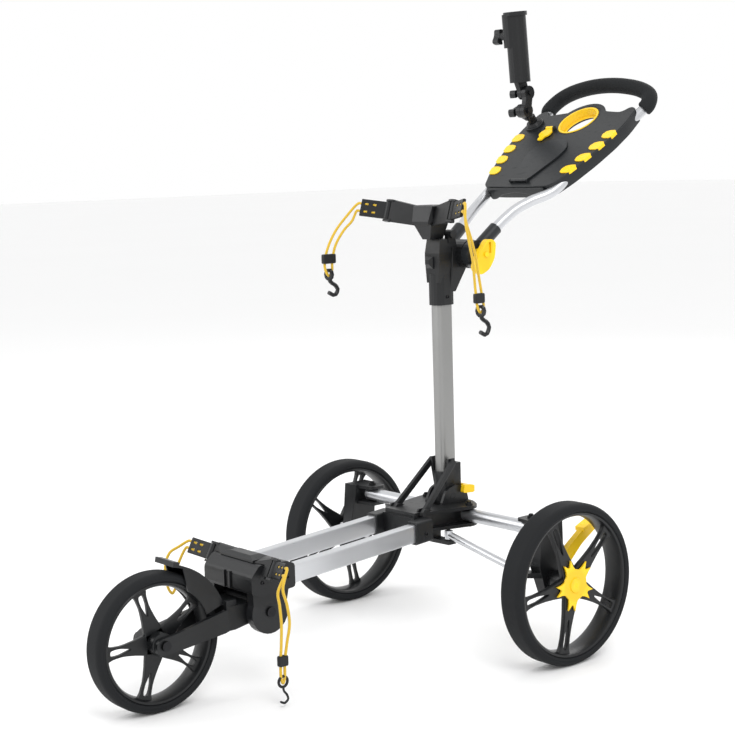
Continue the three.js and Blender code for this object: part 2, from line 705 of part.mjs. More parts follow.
function rearBlock() {
  const low = ARM_HEIGHT - PLATE_GAP - PLATE_THICKNESS;
  const solids = [
    clevisPlate(low),
    clevisPlate(PLATE_TOP - PLATE_THICKNESS),
    block(-NECK_X, NECK_X, SOCKET_REAR_Y - 20, 24, low, PLATE_TOP),
    block(-SOCKET_INNER_X - 2, SOCKET_INNER_X + 2, BEAM_REAR_Y + 16, SOCKET_REAR_Y, low - 6, PLATE_TOP - 8),
  ];
  const tools = [];
  const pins = [];
  for (const { side } of SIDES) {
    const x0 = side > 0 ? SOCKET_INNER_X : -SOCKET_OUTER_X;
    const socket = beamSection(
      2 * SOCKET_HALF,
      BEAM_HEIGHT + 2 * SOCKET_WALL,
      BEAM_LENGTH + 12,
      side * BEAM_MID_X,
      4,
    );
    const length = block(x0 - REACH, x0 + 2 * SOCKET_HALF + REACH, BEAM_REAR_Y, SOCKET_REAR_Y, 150, 300);
    solids.push(common(socket, length));
    tools.push(beamCavity(side));
    // hinge cheek beside the mast foot
    const c0 = side > 0 ? HINGE_CHEEK_X : -HINGE_CHEEK_X - HINGE_CHEEK;
    const cheek = roundedShape([
      [MAST_PIVOT.y - 30, PLATE_TOP - 3],
      [MAST_PIVOT.y + 42, PLATE_TOP - 3],
      [MAST_PIVOT.y + 34, MAST_PIVOT.z + 14],
      [MAST_PIVOT.y + 8, MAST_PIVOT.z + 22],
      [MAST_PIVOT.y - 16, MAST_PIVOT.z + 14],
    ], 7);
    solids.push(plateX(cheek, c0, c0 + HINGE_CHEEK));
    const [b0, b1] = [c0 - REACH, c0 + HINGE_CHEEK + REACH];
    tools.push(barX(MAST_PIVOT.y, MAST_PIVOT.z, b0, b1, TRUNNION_RADIUS + GAP, 16));
    // upright pin of the rear arm
    const arm = side * ARM_PIVOT_X;
    solids.push(barZ(arm, 0, low - 3, PLATE_TOP + 4, ARM_PIN_RADIUS, 12));
    solids.push(barZ(arm, 0, PLATE_TOP - 1, PLATE_TOP + 4, 7, 12));
    // lug and pin of the link rod
    const rodX = side * (ARM_PIVOT_X + ROD_OFFSET.x);
    const [lugLow, lugTop] = [ROD_INNER_Z - 17, ROD_INNER_Z - 10];
    const web = side * 32;
    const lug = lump([
      ...corners(rodX - 9, rodX + 9, ROD_OFFSET.y - 9, ROD_OFFSET.y + 9, lugLow, lugTop),
      ...corners(web - 6, web + 6, ROD_OFFSET.y - 12, ROD_OFFSET.y + 12, lugLow, lugTop),
    ]);
    solids.push(lug);
    solids.push(block(web - 6, web + 6, ROD_OFFSET.y - 12, ROD_OFFSET.y + 12, ROD_INNER_Z - 16, low + 3));
    solids.push(barZ(rodX, ROD_OFFSET.y, ROD_INNER_Z - 12, ROD_INNER_Z + 11, 3, 10));
    // feet of the struts
    const s0 = side * STRUT_FOOT.x;
    const t = STRUT_THICKNESS / 2 + RUN;
    for (const dx of side > 0 ? [-t - 4 - STRUT_LEAN, t] : [-t - 4, t + STRUT_LEAN]) {
      const ear = roundedShape([
        [STRUT_FOOT.y - 12, PLATE_TOP - 12],
        [STRUT_FOOT.y + 12, PLATE_TOP - 12],
        [STRUT_FOOT.y + 7, STRUT_FOOT.z + 8],
        [STRUT_FOOT.y - 7, STRUT_FOOT.z + 8],
      ], 4);
      solids.push(plateX(ear, s0 + dx, s0 + dx + 4));
    }
    pins.push(barX(STRUT_FOOT.y, STRUT_FOOT.z, s0 - t - 4, s0 + t + 4, 2.5, 10));
    const relief = STRUT_WIDTH / 2 + RUN;
    const [ry, rz] = [STRUT_FOOT.y, STRUT_FOOT.z];
    const lean = side * STRUT_LEAN;
    const [r0, r1] = [s0 - t + Math.min(0, -lean), s0 + t + Math.max(0, -lean)];
    tools.push(block(r0, r1, ry - relief - 4, ry + 3 * relief, rz - relief - 1, PLATE_TOP + 20));
  }
  const wellRear = FOOT_HALF_Y + MAST_Y + 8;
  const wellFloor = PLATE_TOP - 14;
  const wellFront = MAST_PIVOT.y - 32;
  const well = block(-HINGE_CHEEK_X, HINGE_CHEEK_X, wellFront, wellRear, wellFloor, PLATE_TOP + REACH);
  const latchSlot = barX(LATCH.y, LATCH.z, -60, 60, LATCH_PIN_RADIUS + GAP, 10);
  return piece('rear_block', join(cut(join(...solids), ...tools, well, latchSlot), ...pins), BLACK);
}

// ---------------------------------------------------------------- fold latch

const LATCH = { y: 27, z: 274 };
const LATCH_PIN_RADIUS = 3;

function foldLatch() {
  const out = HINGE_CHEEK_X + HINGE_CHEEK + RUN;
  const solids = [barX(LATCH.y, LATCH.z, -out - 8, out + 8, LATCH_PIN_RADIUS, 10)];
  for (const { side } of SIDES) {
    const x0 = side > 0 ? out : -out - 9;
    const cap = roundedShape([
      [LATCH.y - 16, LATCH.z - 7],
      [LATCH.y + 12, LATCH.z - 9],
      [LATCH.y + 14, LATCH.z + 5],
      [LATCH.y - 12, LATCH.z + 9],
    ], 4);
    solids.push(plateX(cap, x0, x0 + 9));
  }
  solids.push(block(-out - 8, out + 8, LATCH.y + 7.5, LATCH.y + 14, LATCH.z - 8, LATCH.z + 4));
  return piece('fold_latch', join(...solids), YELLOW);
}

// ---------------------------------------------------------------- rear arms

function axleTube({ name, side }) {
  const outer = bar(v3(-10, 0, 0), v3(ARM_LENGTH + 10, 0, 0), ARM_TUBE_RADIUS, 16);
  const inner = ARM_TUBE_RADIUS - ARM_TUBE_WALL;
  const bore = bar(v3(-10 - REACH, 0, 0), v3(ARM_LENGTH + 10 + REACH, 0, 0), inner, 16);
  const pins = [0, ARM_LENGTH].map((x) => barZ(x, 0, -20, 20, ARM_PIN_RADIUS + GAP, 12));
  const group = groupAt(side * ARM_PIVOT_X, 0, ARM_HEIGHT, piece(`axle_tube_${name}`, cut(outer, bore, ...pins), SILVER));
  if (side < 0) {
    group.rotation.z = Math.PI;
  }
  return group;
}

function linkRod({ name, side }) {
  const drop = ROD_OUTER_Z - ROD_INNER_Z;
  const rod = bar(v3(6, 0, drop * 6 / ARM_LENGTH), v3(ARM_LENGTH - 6, 0, drop * (1 - 6 / ARM_LENGTH)), ROD_RADIUS, 12);
  const eyes = [[0, 0], [ARM_LENGTH, drop]].map(([x, z]) => barZ(x, 0, z - 8, z + 8, 8, 12));
  const holes = [[0, 0], [ARM_LENGTH, drop]].map(([x, z]) => barZ(x, 0, z - 12, z + 12, 3 + GAP, 10));
  const x = side * (ARM_PIVOT_X + ROD_OFFSET.x);
  const mesh = piece(`link_rod_${name}`, cut(join(rod, ...eyes), ...holes), SILVER);
  const group = groupAt(x, ROD_OFFSET.y, ROD_INNER_Z, mesh);
  if (side < 0) {
    mesh.geometry = mirrorX(mesh.geometry);
  }
  return group;
}

// Mirror image of a solid in the plane X = 0.
function mirrorX(geometry) {
  const flipped = bare(geometry);
  flipped.scale(-1, 1, 1);
  const index = flipped.index.array;
  for (let i = 0; i < index.length; i += 3) {
    [index[i], index[i + 1]] = [index[i + 1], index[i]];
  }
  flipped.computeVertexNormals();
  return flipped;
}

function forSide(geometry, side) {
  return side > 0 ? geometry : mirrorX(geometry);
}

const BRAKE_PIVOT = { x: 252, y: 38, z: 160 };

function wheelCarrier({ name, side }) {
  const low = ARM_HEIGHT - PLATE_GAP - PLATE_THICKNESS;
  const pinX = ARM_PIVOT_X + ARM_LENGTH;
  const plates = [low, PLATE_TOP - PLATE_THICKNESS].map((z) => plateZ(roundedShape([
    [CARRIER_INNER_X, -17],
    [CARRIER_OUTER_X, -26],
    [CARRIER_OUTER_X, 24],
    [CARRIER_INNER_X, 17],
  ], 7), z, z + PLATE_THICKNESS));
  const wallFoot = REAR_WHEEL_RADIUS;
  const wall = lump([
    ...corners(CARRIER_WALL_X, CARRIER_OUTER_X, -27, 24, PLATE_TOP - 12, PLATE_TOP),
    ...corners(CARRIER_WALL_X + 8, CARRIER_OUTER_X, -34, 26, wallFoot + 28, wallFoot + 34),
    ...corners(CARRIER_WALL_X + 14, CARRIER_OUTER_X, -20, 20, wallFoot - 24, wallFoot - 18),
  ]);
  const boss = barX(0, REAR_WHEEL_RADIUS, CARRIER_WALL_X + 16, STUB_FACE_X, 18, 20);
  const pin = barZ(pinX, 0, low - 3, PLATE_TOP + 4, ARM_PIN_RADIUS, 12);
  const pinHead = barZ(pinX, 0, PLATE_TOP - 1, PLATE_TOP + 4, 7, 12);
  const rodX = pinX + ROD_OFFSET.x;
  const rodLug = lump([
    ...corners(rodX - 9, rodX + 9, ROD_OFFSET.y - 9, ROD_OFFSET.y + 6, ROD_OUTER_Z - 17, ROD_OUTER_Z - 10),
    ...corners(CARRIER_WALL_X + 12, CARRIER_OUTER_X - 2, -30, -18, ROD_OUTER_Z - 20, ROD_OUTER_Z - 10),
  ]);
  const rodPin = barZ(rodX, ROD_OFFSET.y, ROD_OUTER_Z - 12, ROD_OUTER_Z + 11, 3, 10);
  const { x: bx, y: by, z: bz } = BRAKE_PIVOT;
  const brakeLug = lump([
    ...corners(bx + 7, bx + 13, by - 9, by + 8, bz - 8, bz + 8),
    ...corners(bx + 7, CARRIER_OUTER_X - 3, 6, 20, bz - 14, bz + 14),
  ]);
  const brakePin = barX(by, bz, bx - 7, bx + 9, 4, 12);
  const solids = [...plates, wall, boss, pin, pinHead, rodLug, rodPin, brakeLug, brakePin];
  const bore = barX(0, REAR_WHEEL_RADIUS, CARRIER_WALL_X - 10, STUB_FACE_X + REACH, AXLE_RADIUS + GAP, 12);
  return piece(`wheel_carrier_${name}`, forSide(cut(join(...solids), bore), side), BLACK);
}

function stubAxle({ name, side }) {
  const from = CARRIER_WALL_X + 6;
  const to = HUB_FACE_X - 1;
  const shank = barX(0, REAR_WHEEL_RADIUS, from, to, AXLE_RADIUS, 12);
  const nut = barX(0, REAR_WHEEL_RADIUS, HUB_FACE_X - 7 + RUN, to, 8.5, 6);
  const head = barX(0, REAR_WHEEL_RADIUS, from - 4, from + 3, 8.5, 6);
  return piece(`stub_axle_${name}`, forSide(join(shank, nut, head), side), STEEL);
}

function brakeLever() {
  const { x, y, z } = BRAKE_PIVOT;
  const shape = roundedShape([
    [y - 9, z - 8],
    [y + 10, z - 10],
    [y + 56, z + 32],
    [y + 96, z + 56],
    [y + 90, z + 70],
    [y + 60, z + 58],
    [y - 8, z + 12],
  ], 7);
  const body = plateX(shape, x - 6, x + 6);
  const pedal = lump(corners(x - 12, x + 10, y + 58, y + 90, z + 54, z + 61).map(([px, py, pz]) => [px, py, pz + (py - y - 58) * 0.4]));
  return piece('brake_lever', cut(join(body, pedal), barX(y, z, x - 20, x + 20, 4.3, 12)), YELLOW);
}

// ---------------------------------------------------------------- mast

const mastShape = (grow = 0) => rectangle(MAST_WIDTH + 2 * grow, MAST_DEPTH + 2 * grow, MAST_CORNER + grow);

function mastTube() {
  const shape = mastShape();
  shape.holes.push(mastShape(-MAST_WALL));
  const from = FOOT_TOP_Z - MAST_GRIP;
  const tube = plateZ(shape, from, HEAD_BOTTOM_Z + MAST_GRIP, 4).translate(0, MAST_Y, 0);
  return piece('mast_tube', tube, SILVER);
}

function mastFoot() {
  const low = MAST_PIVOT.z - 14;
  const body = plateZ(mastShape(SLEEVE_WALL), low, FOOT_TOP_Z, 3).translate(0, MAST_Y, 0);
  const heel = lump([
    ...corners(-FOOT_HALF_X, FOOT_HALF_X, 0, FOOT_HALF_Y + MAST_Y + 1, low, FOOT_TOP_Z - 4),
    ...corners(-FOOT_HALF_X + 4, FOOT_HALF_X - 4, 6, FOOT_HALF_Y + MAST_Y + 5, FOOT_TOP_Z - 30, FOOT_TOP_Z + 14),
  ]);
  const solids = [body, heel];
  const trunnion = HINGE_CHEEK_X + HINGE_CHEEK;
  solids.push(barX(MAST_PIVOT.y, MAST_PIVOT.z, -trunnion, trunnion, TRUNNION_RADIUS, 16));
  // ears that carry the strut heads
  const { y, z, x } = STRUT_HEAD;
  const inner = x - STRUT_THICKNESS / 2 - RUN;
  for (const { side } of SIDES) {
    const ear = lump([
      ...corners(side * inner - 3, side * inner, y - 6, y + 10, z - 8, z + 8),
      ...corners(side * FOOT_HALF_X - 3, side * FOOT_HALF_X, y - 6, y + 14, FOOT_TOP_Z - 24, FOOT_TOP_Z - 2),
    ].map(([px, py, pz]) => [side < 0 ? px + 3 : px, py, pz]));
    solids.push(ear);
  }
  const cavity = plateZ(mastShape(GAP), FOOT_TOP_Z - MAST_GRIP - GAP, FOOT_TOP_Z + 60, 4).translate(0, MAST_Y, 0);
  return piece('mast_foot', cut(join(...solids), cavity), BLACK);
}

// Flat brace from the block up to the side of the mast foot, leaning inwards.
function strut({ name, side }) {
  const foot = v3(0, STRUT_FOOT.y, STRUT_FOOT.z);
  const head = v3(0, STRUT_HEAD.y, STRUT_HEAD.z);
  const along = head.clone().sub(foot);
  const length = along.length();
  const tilt = Math.atan2(along.z, along.y);
  const half = STRUT_WIDTH / 2;
  const end = length + half + 1;
  const shape = roundedShape([[-half, -half], [end, -half], [end, half], [-half, half]], half * 0.9);
  shape.holes.push(circle(2.5 + 3 * GAP));
  const bend = STRUT_FOOT.x - STRUT_HEAD.x;
  const flat = plateX(shape, -STRUT_THICKNESS / 2, STRUT_THICKNESS / 2, 3);
  const position = flat.attributes.position;
  for (let i = 0; i < position.count; i += 1) {
    const share = THREE.MathUtils.clamp(position.getY(i) / length, 0, 1);
    position.setX(i, position.getX(i) + (STRUT_FOOT.x - bend * share) * side);
  }
  flat.rotateX(tilt).translate(0, foot.y, foot.z);
  return piece(`strut_${name}`, bare(flat), BLACK);
}

// ---------------------------------------------------------------- head and upper cradle

function headCasting() {
  const { y, z } = HANDLE_PIVOT;
  const sleeveTop = HEAD_BOTTOM_Z + MAST_GRIP + 8;
  const sleeve = plateZ(mastShape(SLEEVE_WALL), HEAD_BOTTOM_Z, sleeveTop, 3).translate(0, MAST_Y, 0);
  const body = lump([
    ...corners(-16, 16, -24, 17, sleeveTop - 16, sleeveTop - 6),
    ...corners(-20, 20, -24, 22, z - 10, z + 4),
    ...corners(-18, 18, -20, 20, CRADLE_SEAT_Z - 6, CRADLE_SEAT_Z),
  ]);
  const neck = lump([
    ...corners(-17, 17, 4, 18, sleeveTop - 34, sleeveTop - 28),
    ...corners(-22, 22, 8, y, z - BARREL_RADIUS + 3, z + 14),
  ]);
  const barrel = barX(y, z, -BARREL_HALF, BARREL_HALF, BARREL_RADIUS, 24);
  const nub = lump([
    ...corners(-14, 4, -26, -18, z - 24, z - 2),
    ...corners(-10, 0, -33, -20, z - 16, z - 8),
  ]);
  const boss = barX(8, CRADLE_SEAT_Z + 9, 8, 26, 8, 14);
  const bossWeb = block(10, 20, 0, 16, CRADLE_SEAT_Z - 8, CRADLE_SEAT_Z + 8);
  const cavity = plateZ(mastShape(GAP), HEAD_BOTTOM_Z - REACH, HEAD_BOTTOM_Z + MAST_GRIP + GAP, 4);
  cavity.translate(0, MAST_Y, 0);
  const bolt = barX(y, z, -BARREL_HALF - REACH, BARREL_HALF + REACH, PIVOT_BOLT_RADIUS + GAP, 12);
  return piece('head_casting', cut(join(sleeve, body, neck, barrel, nub, boss, bossWeb), cavity, bolt), BLACK);
}

const CRADLE_SEAT_Z = 748;

function upperCradle() {
  const { hinge, height, lean } = UPPER_TIP;
  const low = CRADLE_SEAT_Z + GAP;
  const top = 812;
  const centre = lump([
    ...corners(-26, 26, -44, -4, top - 30, top - 2),
    ...corners(-20, 20, -40, -8, top - 4, top),
    ...corners(-22, 22, -52, -20, top - 36, top - 30),
  ]);
  const belly = lump([
    ...corners(-20, 7, -20, -2, low, low + 4),
    ...corners(-24, 24, -46, -4, low + 28, low + 36),
    ...corners(-14, 7, -34, -10, low, low + 4),
  ]);
  const solids = [centre, belly];
  const half = height / 2 + EAR_REACH;
  const dy = half * Math.sin(lean);
  const dz = half * Math.cos(lean);
  const tipX = hinge[0] - TIP_BARREL - 3;
  for (const { side } of SIDES) {
    solids.push(blade(
      mirrored([20, -44, top - 38], side),
      mirrored([20, -34, top - 3], side),
      mirrored([tipX, hinge[1] - dy - 3, hinge[2] - dz], side),
      mirrored([tipX, hinge[1] + dy - 3, hinge[2] + dz], side),
      7,
    ), ...tipEars(UPPER_TIP, side));
  }
  return piece('upper_bag_cradle', join(...solids), BLACK);
}

// ---------------------------------------------------------------- handle

const HANDLE_ROUTE = [
  [45.5, 63, 738],
  [48, 97, 765],
  [52, 119, 782],
  [58, 143, 798],
  [69, 172, 812],
  [86, 207, 826],
];

// Point on the console: x across, v up the slope, w above the top face.
function onConsole(x, v, w) {
  const c = Math.cos(CONSOLE_TILT);
  const s = Math.sin(CONSOLE_TILT);
  return [x, CONSOLE_ORIGIN.y + v * c - w * s, CONSOLE_ORIGIN.z + v * s + w * c];
}

function consoleRun(w) {
  return [
    onConsole(97, -60, w),
    onConsole(107, 0, w),
    onConsole(115, 60, w),
    onConsole(122, 115, w),
    onConsole(127, 150, w),
  ];
}

const TUBE_BELOW = -16.4; // middle of the handle tube below the console's top face
const GRIP_BOW = [
  [132, 434, 988],
  [122, 452, 1007],
  [96, 458, 1020],
  [48, 459, 1030],
  [0, 459, 1033],
];

function handleRoute() {
  const half = [...HANDLE_ROUTE, ...consoleRun(TUBE_BELOW), ...GRIP_BOW];
  const back = half.slice(0, -1).reverse().map((p) => mirrored(p, -1));
  return [...half, ...back];
}

function handleTube() {
  return piece('handle_tube', bare(sweep(handleRoute(), circle(HANDLE_TUBE_RADIUS), 46, 4)), SILVER);
}

function foamGrip() {
  const half = [onConsole(127, 150, TUBE_BELOW), ...GRIP_BOW];
  const back = half.slice(0, -1).reverse().map((p) => mirrored(p, -1));
  const shape = circle(GRIP_RADIUS);
  shape.holes.push(circle(HANDLE_TUBE_RADIUS + 2.6));
  return piece('foam_grip', bare(sweep([...half, ...back], shape, 24, 4)), FOAM);
}

function yoke({ name, side }) {
  const { y, z } = HANDLE_PIVOT;
  const inner = BARREL_HALF + RUN;
  const outer = inner + YOKE_THICKNESS;
  const disc = barX(y, z, inner, outer, BARREL_RADIUS - 1, 24);
  const [start, end] = [v3(...HANDLE_ROUTE[0]), v3(...HANDLE_ROUTE[1])];
  const along = end.clone().sub(start).normalize();
  const from = start.clone().addScaledVector(along, -14);
  const to = end.clone().addScaledVector(along, -2);
  const sleeve = bar(from, to, HANDLE_SLEEVE_RADIUS, 18);
  const bore = bar(start.clone().addScaledVector(along, -1), to.clone().addScaledVector(along, 5), HANDLE_TUBE_RADIUS + GAP, 16);
  const clear = barX(y, z, -inner, inner, BARREL_RADIUS + RUN, 24);
  const bolt = barX(y, z, inner - REACH, outer + 20, PIVOT_BOLT_RADIUS + GAP, 12);
  return piece(`handle_yoke_${name}`, forSide(cut(join(disc, sleeve), bore, clear, bolt), side), BLACK);
}

function lockLever() {
  const { y, z } = HANDLE_PIVOT;
  const x0 = LEVER_INNER_X;
  const shape = roundedShape([
    [-28, -27],
    [-13, -38],
    [9, -28],
    [23, -8],
    [27, 20],
    [17, 28],
    [5, 27],
    [-9, 9],
    [-22, -6],
  ], 7);
  const body = plateX(shape, x0, x0 + 13).translate(0, y, z);
  const notch = block(x0 + 9, x0 + 20, y + 8, y + 14, z + 2, z + 22);
  const half = BARREL_HALF + RUN + YOKE_THICKNESS;
  const shank = barX(y, z, -half - 4, x0 + 16, PIVOT_BOLT_RADIUS, 12);
  const hub = barX(y, z, half + RUN, x0 + 2, 11, 16);
  const head = barX(y, z, -half - 6, -half - GAP, 9, 12);
  return piece('lock_lever', join(cut(body, notch), hub, shank, head), YELLOW);
}

// ---------------------------------------------------------------- console

// Outline of the console seen square to its top face, right half from the front to the rear.
const CONSOLE_EDGE = [
  [34, -120],
  [88, -118],
  [108, -75],
  [124, -20],
  [134, 35],
  [136, 85],
  [130, 132],
  [112, 140],
  [98, 122],
  [74, 126],
];

function consoleShape(shrink = 0) {
  const right = CONSOLE_EDGE.map(([x, v]) => [x - shrink * Math.sign(x), v + (v < 0 ? shrink : -shrink * 0.5)]);
  const left = [...right].reverse().map(([x, v]) => [-x, v]);
  return roundedShape([...right, ...left], 16);
}

function consoleFrame(geometry) {
  geometry.rotateX(CONSOLE_TILT);
  return geometry.translate(0, CONSOLE_ORIGIN.y, CONSOLE_ORIGIN.z);
}

function tubeChannel(side) {
  const route = [...HANDLE_ROUTE.slice(3), ...consoleRun(TUBE_BELOW), GRIP_BOW[0]];
  return sweep(route.map((p) => mirrored(p, side)), circle(HANDLE_TUBE_RADIUS + 2), 14, 4);
}

// Half width of the console at v, along its straight side.
function edgeAt(v) {
  const next = CONSOLE_EDGE.findIndex(([, w], k) => k > 2 && w > v);
  const [[x0, v0], [x1, v1]] = [CONSOLE_EDGE[next - 1], CONSOLE_EDGE[next]];
  return THREE.MathUtils.mapLinear(v, v0, v1, x0, x1);
}

const PAD_FRONT_V = -66;
const PAD_STEP = 37;
const PAD_HALF = 12.5;
const PAD_SHEET = 1.8;
const padRow = Array.from({ length: PAD_COUNT }, (_, i) => PAD_FRONT_V + i * PAD_STEP);

// Outline of the soft pad at v: round towards the middle of the console, cut off along its edge.
function padShape(v, grow, reach) {
  const half = PAD_HALF + grow;
  const [front, rear] = [edgeAt(v - half), edgeAt(v + half)];
  return roundedShape([
    [front - 20 - grow, v - half],
    [front + reach, v - half],
    [rear + reach, v + half],
    [rear - 20 - grow, v + half],
    [edgeAt(v) - 27 - grow, v + 6],
    [edgeAt(v) - 27 - grow, v - 6],
  ], 5);
}

// Soft strip under the console's skin whose pads stand up through windows.
function padStrip({ name, side }) {
  const top = -CONSOLE_SKIN - GAP;
  const solids = padRow.map((v) => plateZ(padShape(v, 0, 0.8), top - 1, 1.6, 1));
  for (let i = 0; i + 1 < PAD_COUNT; i += 1) {
    const [v, w] = [padRow[i], padRow[i + 1]];
    const [x, u] = [edgeAt(v) - 18, edgeAt(w) - 18];
    solids.push(lump([
      ...corners(x - 6, x + 5, v - 4, v + 8, top - PAD_SHEET, top),
      ...corners(u - 6, u + 5, w - 8, w + 6, top - PAD_SHEET, top),
    ]));
  }
  return piece(`grip_pads_${name}`, consoleFrame(forSide(join(...solids), side)), YELLOW);
}

// Small hinged flap: outline in (x, v), lying on the console from w0 to w1, with a barrel at one edge.
const FLAP_PIN = 1.8;

function flap(outline, w0, w1, hinge) {
  const plate = plateZ(outline, w0, w1, 2);
  const { x, v, w, half, radius } = hinge;
  const barrel = bar(v3(x - half, v, w), v3(x + half, v, w), radius, 12);
  const pin = bar(v3(x - half - 3, v, w), v3(x + half + 3, v, w), FLAP_PIN, 8);
  return join(plate, barrel, pin);
}

// Two ears on the console that hold a flap's pin.
function flapEars({ x, v, w, half, radius }) {
  return [-1, 1].map((s) => {
    const inner = x + s * (half + GAP + 0.2);
    const outer = inner + s * 4;
    const ear = roundedShape([[v - radius, -2], [v + radius, -2], [v + radius, w + radius], [v - radius, w + radius]], 2);
    const solid = plateX(ear, Math.min(inner, outer), Math.max(inner, outer), 3);
    return cut(solid, bar(v3(inner - s * REACH, v, w), v3(outer + s * REACH, v, w), FLAP_PIN + 0.2, 8));
  });
}

const LID_HINGE = { x: 0, v: -104, w: 4, half: 20, radius: 3 };
const CLIP_HINGE = { x: -50, v: 70, w: 5, half: 9, radius: 3.4 };

function consoleLid() {
  const outline = roundedShape([[-19, -104], [19, -104], [46, -24], [46, 4], [24, 30], [-24, 30], [-46, 4], [-46, -24]], 10);
  return piece('console_lid', consoleFrame(flap(outline, 0.6, 3.6, LID_HINGE)), BLACK);
}

function cardClip() {
  const half = [[8.5, 2], [8.5, -5], [15, -12], [14, -24], [6, -29], [6, -40]];
  const right = half.map(([x, v]) => [CLIP_HINGE.x + x, CLIP_HINGE.v + v]);
  const left = half.map(([x, v]) => [CLIP_HINGE.x - x, CLIP_HINGE.v + v]).reverse();
  const outline = roundedShape([...right, ...left], 4);
  return piece('card_clip', consoleFrame(flap(outline, 2, 5, CLIP_HINGE)), YELLOW);
}

function consoleShell() {
  const slab = plateZ(consoleShape(), -CONSOLE_DEPTH, 0, 2);
  const dish = plateZ(consoleShape(5), -CONSOLE_DEPTH - REACH, -CONSOLE_SKIN, 1);
  const { x: cx, v: cv } = CUP_CENTRE;
  const ring = bar(v3(cx, cv, -CONSOLE_DEPTH), v3(cx, cv, 1), CUP_RADIUS + CUP_RIM, 28);
  const hole = bar(v3(cx, cv, -CONSOLE_DEPTH - 10), v3(cx, cv, 10), CUP_RADIUS, 28);
  const tools = [hole];
  for (const v of padRow) {
    for (const { side } of SIDES) {
      const window = plateZ(padShape(v, 2 * GAP, REACH), -CONSOLE_SKIN - REACH, REACH, 1);
      tools.push(forSide(window, side));
    }
  }
  for (let i = 0; i < TEE_HOLES; i += 1) {
    const angle = THREE.MathUtils.degToRad(-10 - i * 20);
    const r = CUP_RADIUS + CUP_RIM + 9;
    const [tx, tv] = [cx + r * Math.cos(angle), cv + r * Math.sin(angle)];
    tools.push(bar(v3(tx, tv, -10), v3(tx, tv, 10), 3, 8));
  }
  const ears = [...flapEars(LID_HINGE), ...flapEars(CLIP_HINGE)];
  const solids = join(cut(slab, dish), ring, umbrellaSeat(), consoleSkirt(), ...ears);
  const shell = consoleFrame(cut(solids, ...tools));
  return piece('console_shell', cut(shell, tubeChannel(1), tubeChannel(-1)), BLACK);
}

const TEE_HOLES = 3;

function umbrellaSeat() {
  const { x, v } = UMBRELLA_BASE;
  return bar(v3(x, v, -CONSOLE_SKIN), v3(x, v, 5), 20, 20);
}

// Yellow ring inside the console's cup hole, with a shelf that a bottle or cup hangs on.
function cupLiner() {
  const outer = CUP_RADIUS - GAP;
  const inner = outer - CUP_WALL;
  const bottom = -CUP_DEPTH;
  const points = [
    [CUP_MOUTH, bottom],
    [outer, bottom],
    [outer, 0.8],
    [inner, 0.8],
    [inner, bottom + CUP_SHELF],
    [CUP_MOUTH, bottom + CUP_SHELF],
    [CUP_MOUTH, bottom],
  ].map(([r, w]) => new THREE.Vector2(r, w));
  const ring = new THREE.LatheGeometry(points, 24).rotateX(Math.PI / 2);
  ring.translate(CUP_CENTRE.x, CUP_CENTRE.v, 0);
  return piece('cup_liner', consoleFrame(join(ring)), YELLOW);
}

// Arched skirt under the console's front edge.
function consoleSkirt() {
  const front = CONSOLE_EDGE[0][1] + 1;
  const arch = roundedShape([
    [-76, -2],
    [-74, -27],
    [-60, -26],
    [-38, -15],
    [0, -10],
    [38, -15],
    [60, -26],
    [74, -27],
    [76, -2],
  ], 5);
  return plateZ(arch, -front, 7 - front, 2).rotateX(Math.PI / 2);
}

// ---------------------------------------------------------------- umbrella holder

const JOINT_LOW = { y: 336, z: 988 };
const JOINT_HIGH = { y: 341, z: 1024 };
const EYE_WIDTH = 11;
const EYE_X = UMBRELLA_BASE.x - EYE_WIDTH - RUN / 2; // outer face of the base's and the tube's eyes
const LINK_X = UMBRELLA_BASE.x + RUN / 2;
const TUBE_FLOOR = { y: 326, z: 1045 };
const TUBE_LEAN = 0.085;
const KNOB_BOLT = 3.5;

const eye = ({ y, z }, x0, x1) => barX(y, z, x0, x1, JOINT_RADIUS, 16);
const eyeHole = ({ y, z }) => barX(y, z, -150, -70, KNOB_BOLT + GAP, 10);

function umbrellaBase() {
  const { x, v } = UMBRELLA_BASE;
  const foot = bar(v3(x, v, 5 + GAP), v3(x, v, 11), 17, 20, 14);
  const post = bar(v3(x, v, 8), v3(x, v, 24), 9, 16);
  const [footSolid, postSolid] = [consoleFrame(foot), consoleFrame(post)];
  const neck = lump([
    ...corners(EYE_X + 1, EYE_X + EYE_WIDTH - 1, JOINT_LOW.y - 8, JOINT_LOW.y + 8, JOINT_LOW.z - 10, JOINT_LOW.z - 2),
    ...corners(x - 7, x + 5, 348, 362, 968, 974),
  ]);
  const lug = eye(JOINT_LOW, EYE_X, EYE_X + EYE_WIDTH);
  const clear = barX(JOINT_LOW.y, JOINT_LOW.z, LINK_X - RUN, LINK_X + 20, JOINT_RADIUS + 2, 20);
  return piece('umbrella_base', cut(join(footSolid, postSolid, neck, lug), eyeHole(JOINT_LOW), clear), BLACK);
}

function umbrellaLink() {
  const web = lump([
    ...corners(LINK_X, LINK_X + EYE_WIDTH, JOINT_LOW.y - 9, JOINT_LOW.y + 9, JOINT_LOW.z, JOINT_LOW.z + 4),
    ...corners(LINK_X, LINK_X + EYE_WIDTH, JOINT_HIGH.y - 9, JOINT_HIGH.y + 9, JOINT_HIGH.z - 4, JOINT_HIGH.z),
  ]);
  const solids = [eye(JOINT_LOW, LINK_X, LINK_X + EYE_WIDTH), eye(JOINT_HIGH, LINK_X, LINK_X + EYE_WIDTH), web];
  return piece('umbrella_link', cut(join(...solids), eyeHole(JOINT_LOW), eyeHole(JOINT_HIGH)), BLACK);
}

// The tube is drawn upright on its own axis, then leaned forward and set on its floor point.
function setTube(geometry) {
  return geometry.rotateX(TUBE_LEAN).translate(UMBRELLA_BASE.x, TUBE_FLOOR.y, TUBE_FLOOR.z);
}

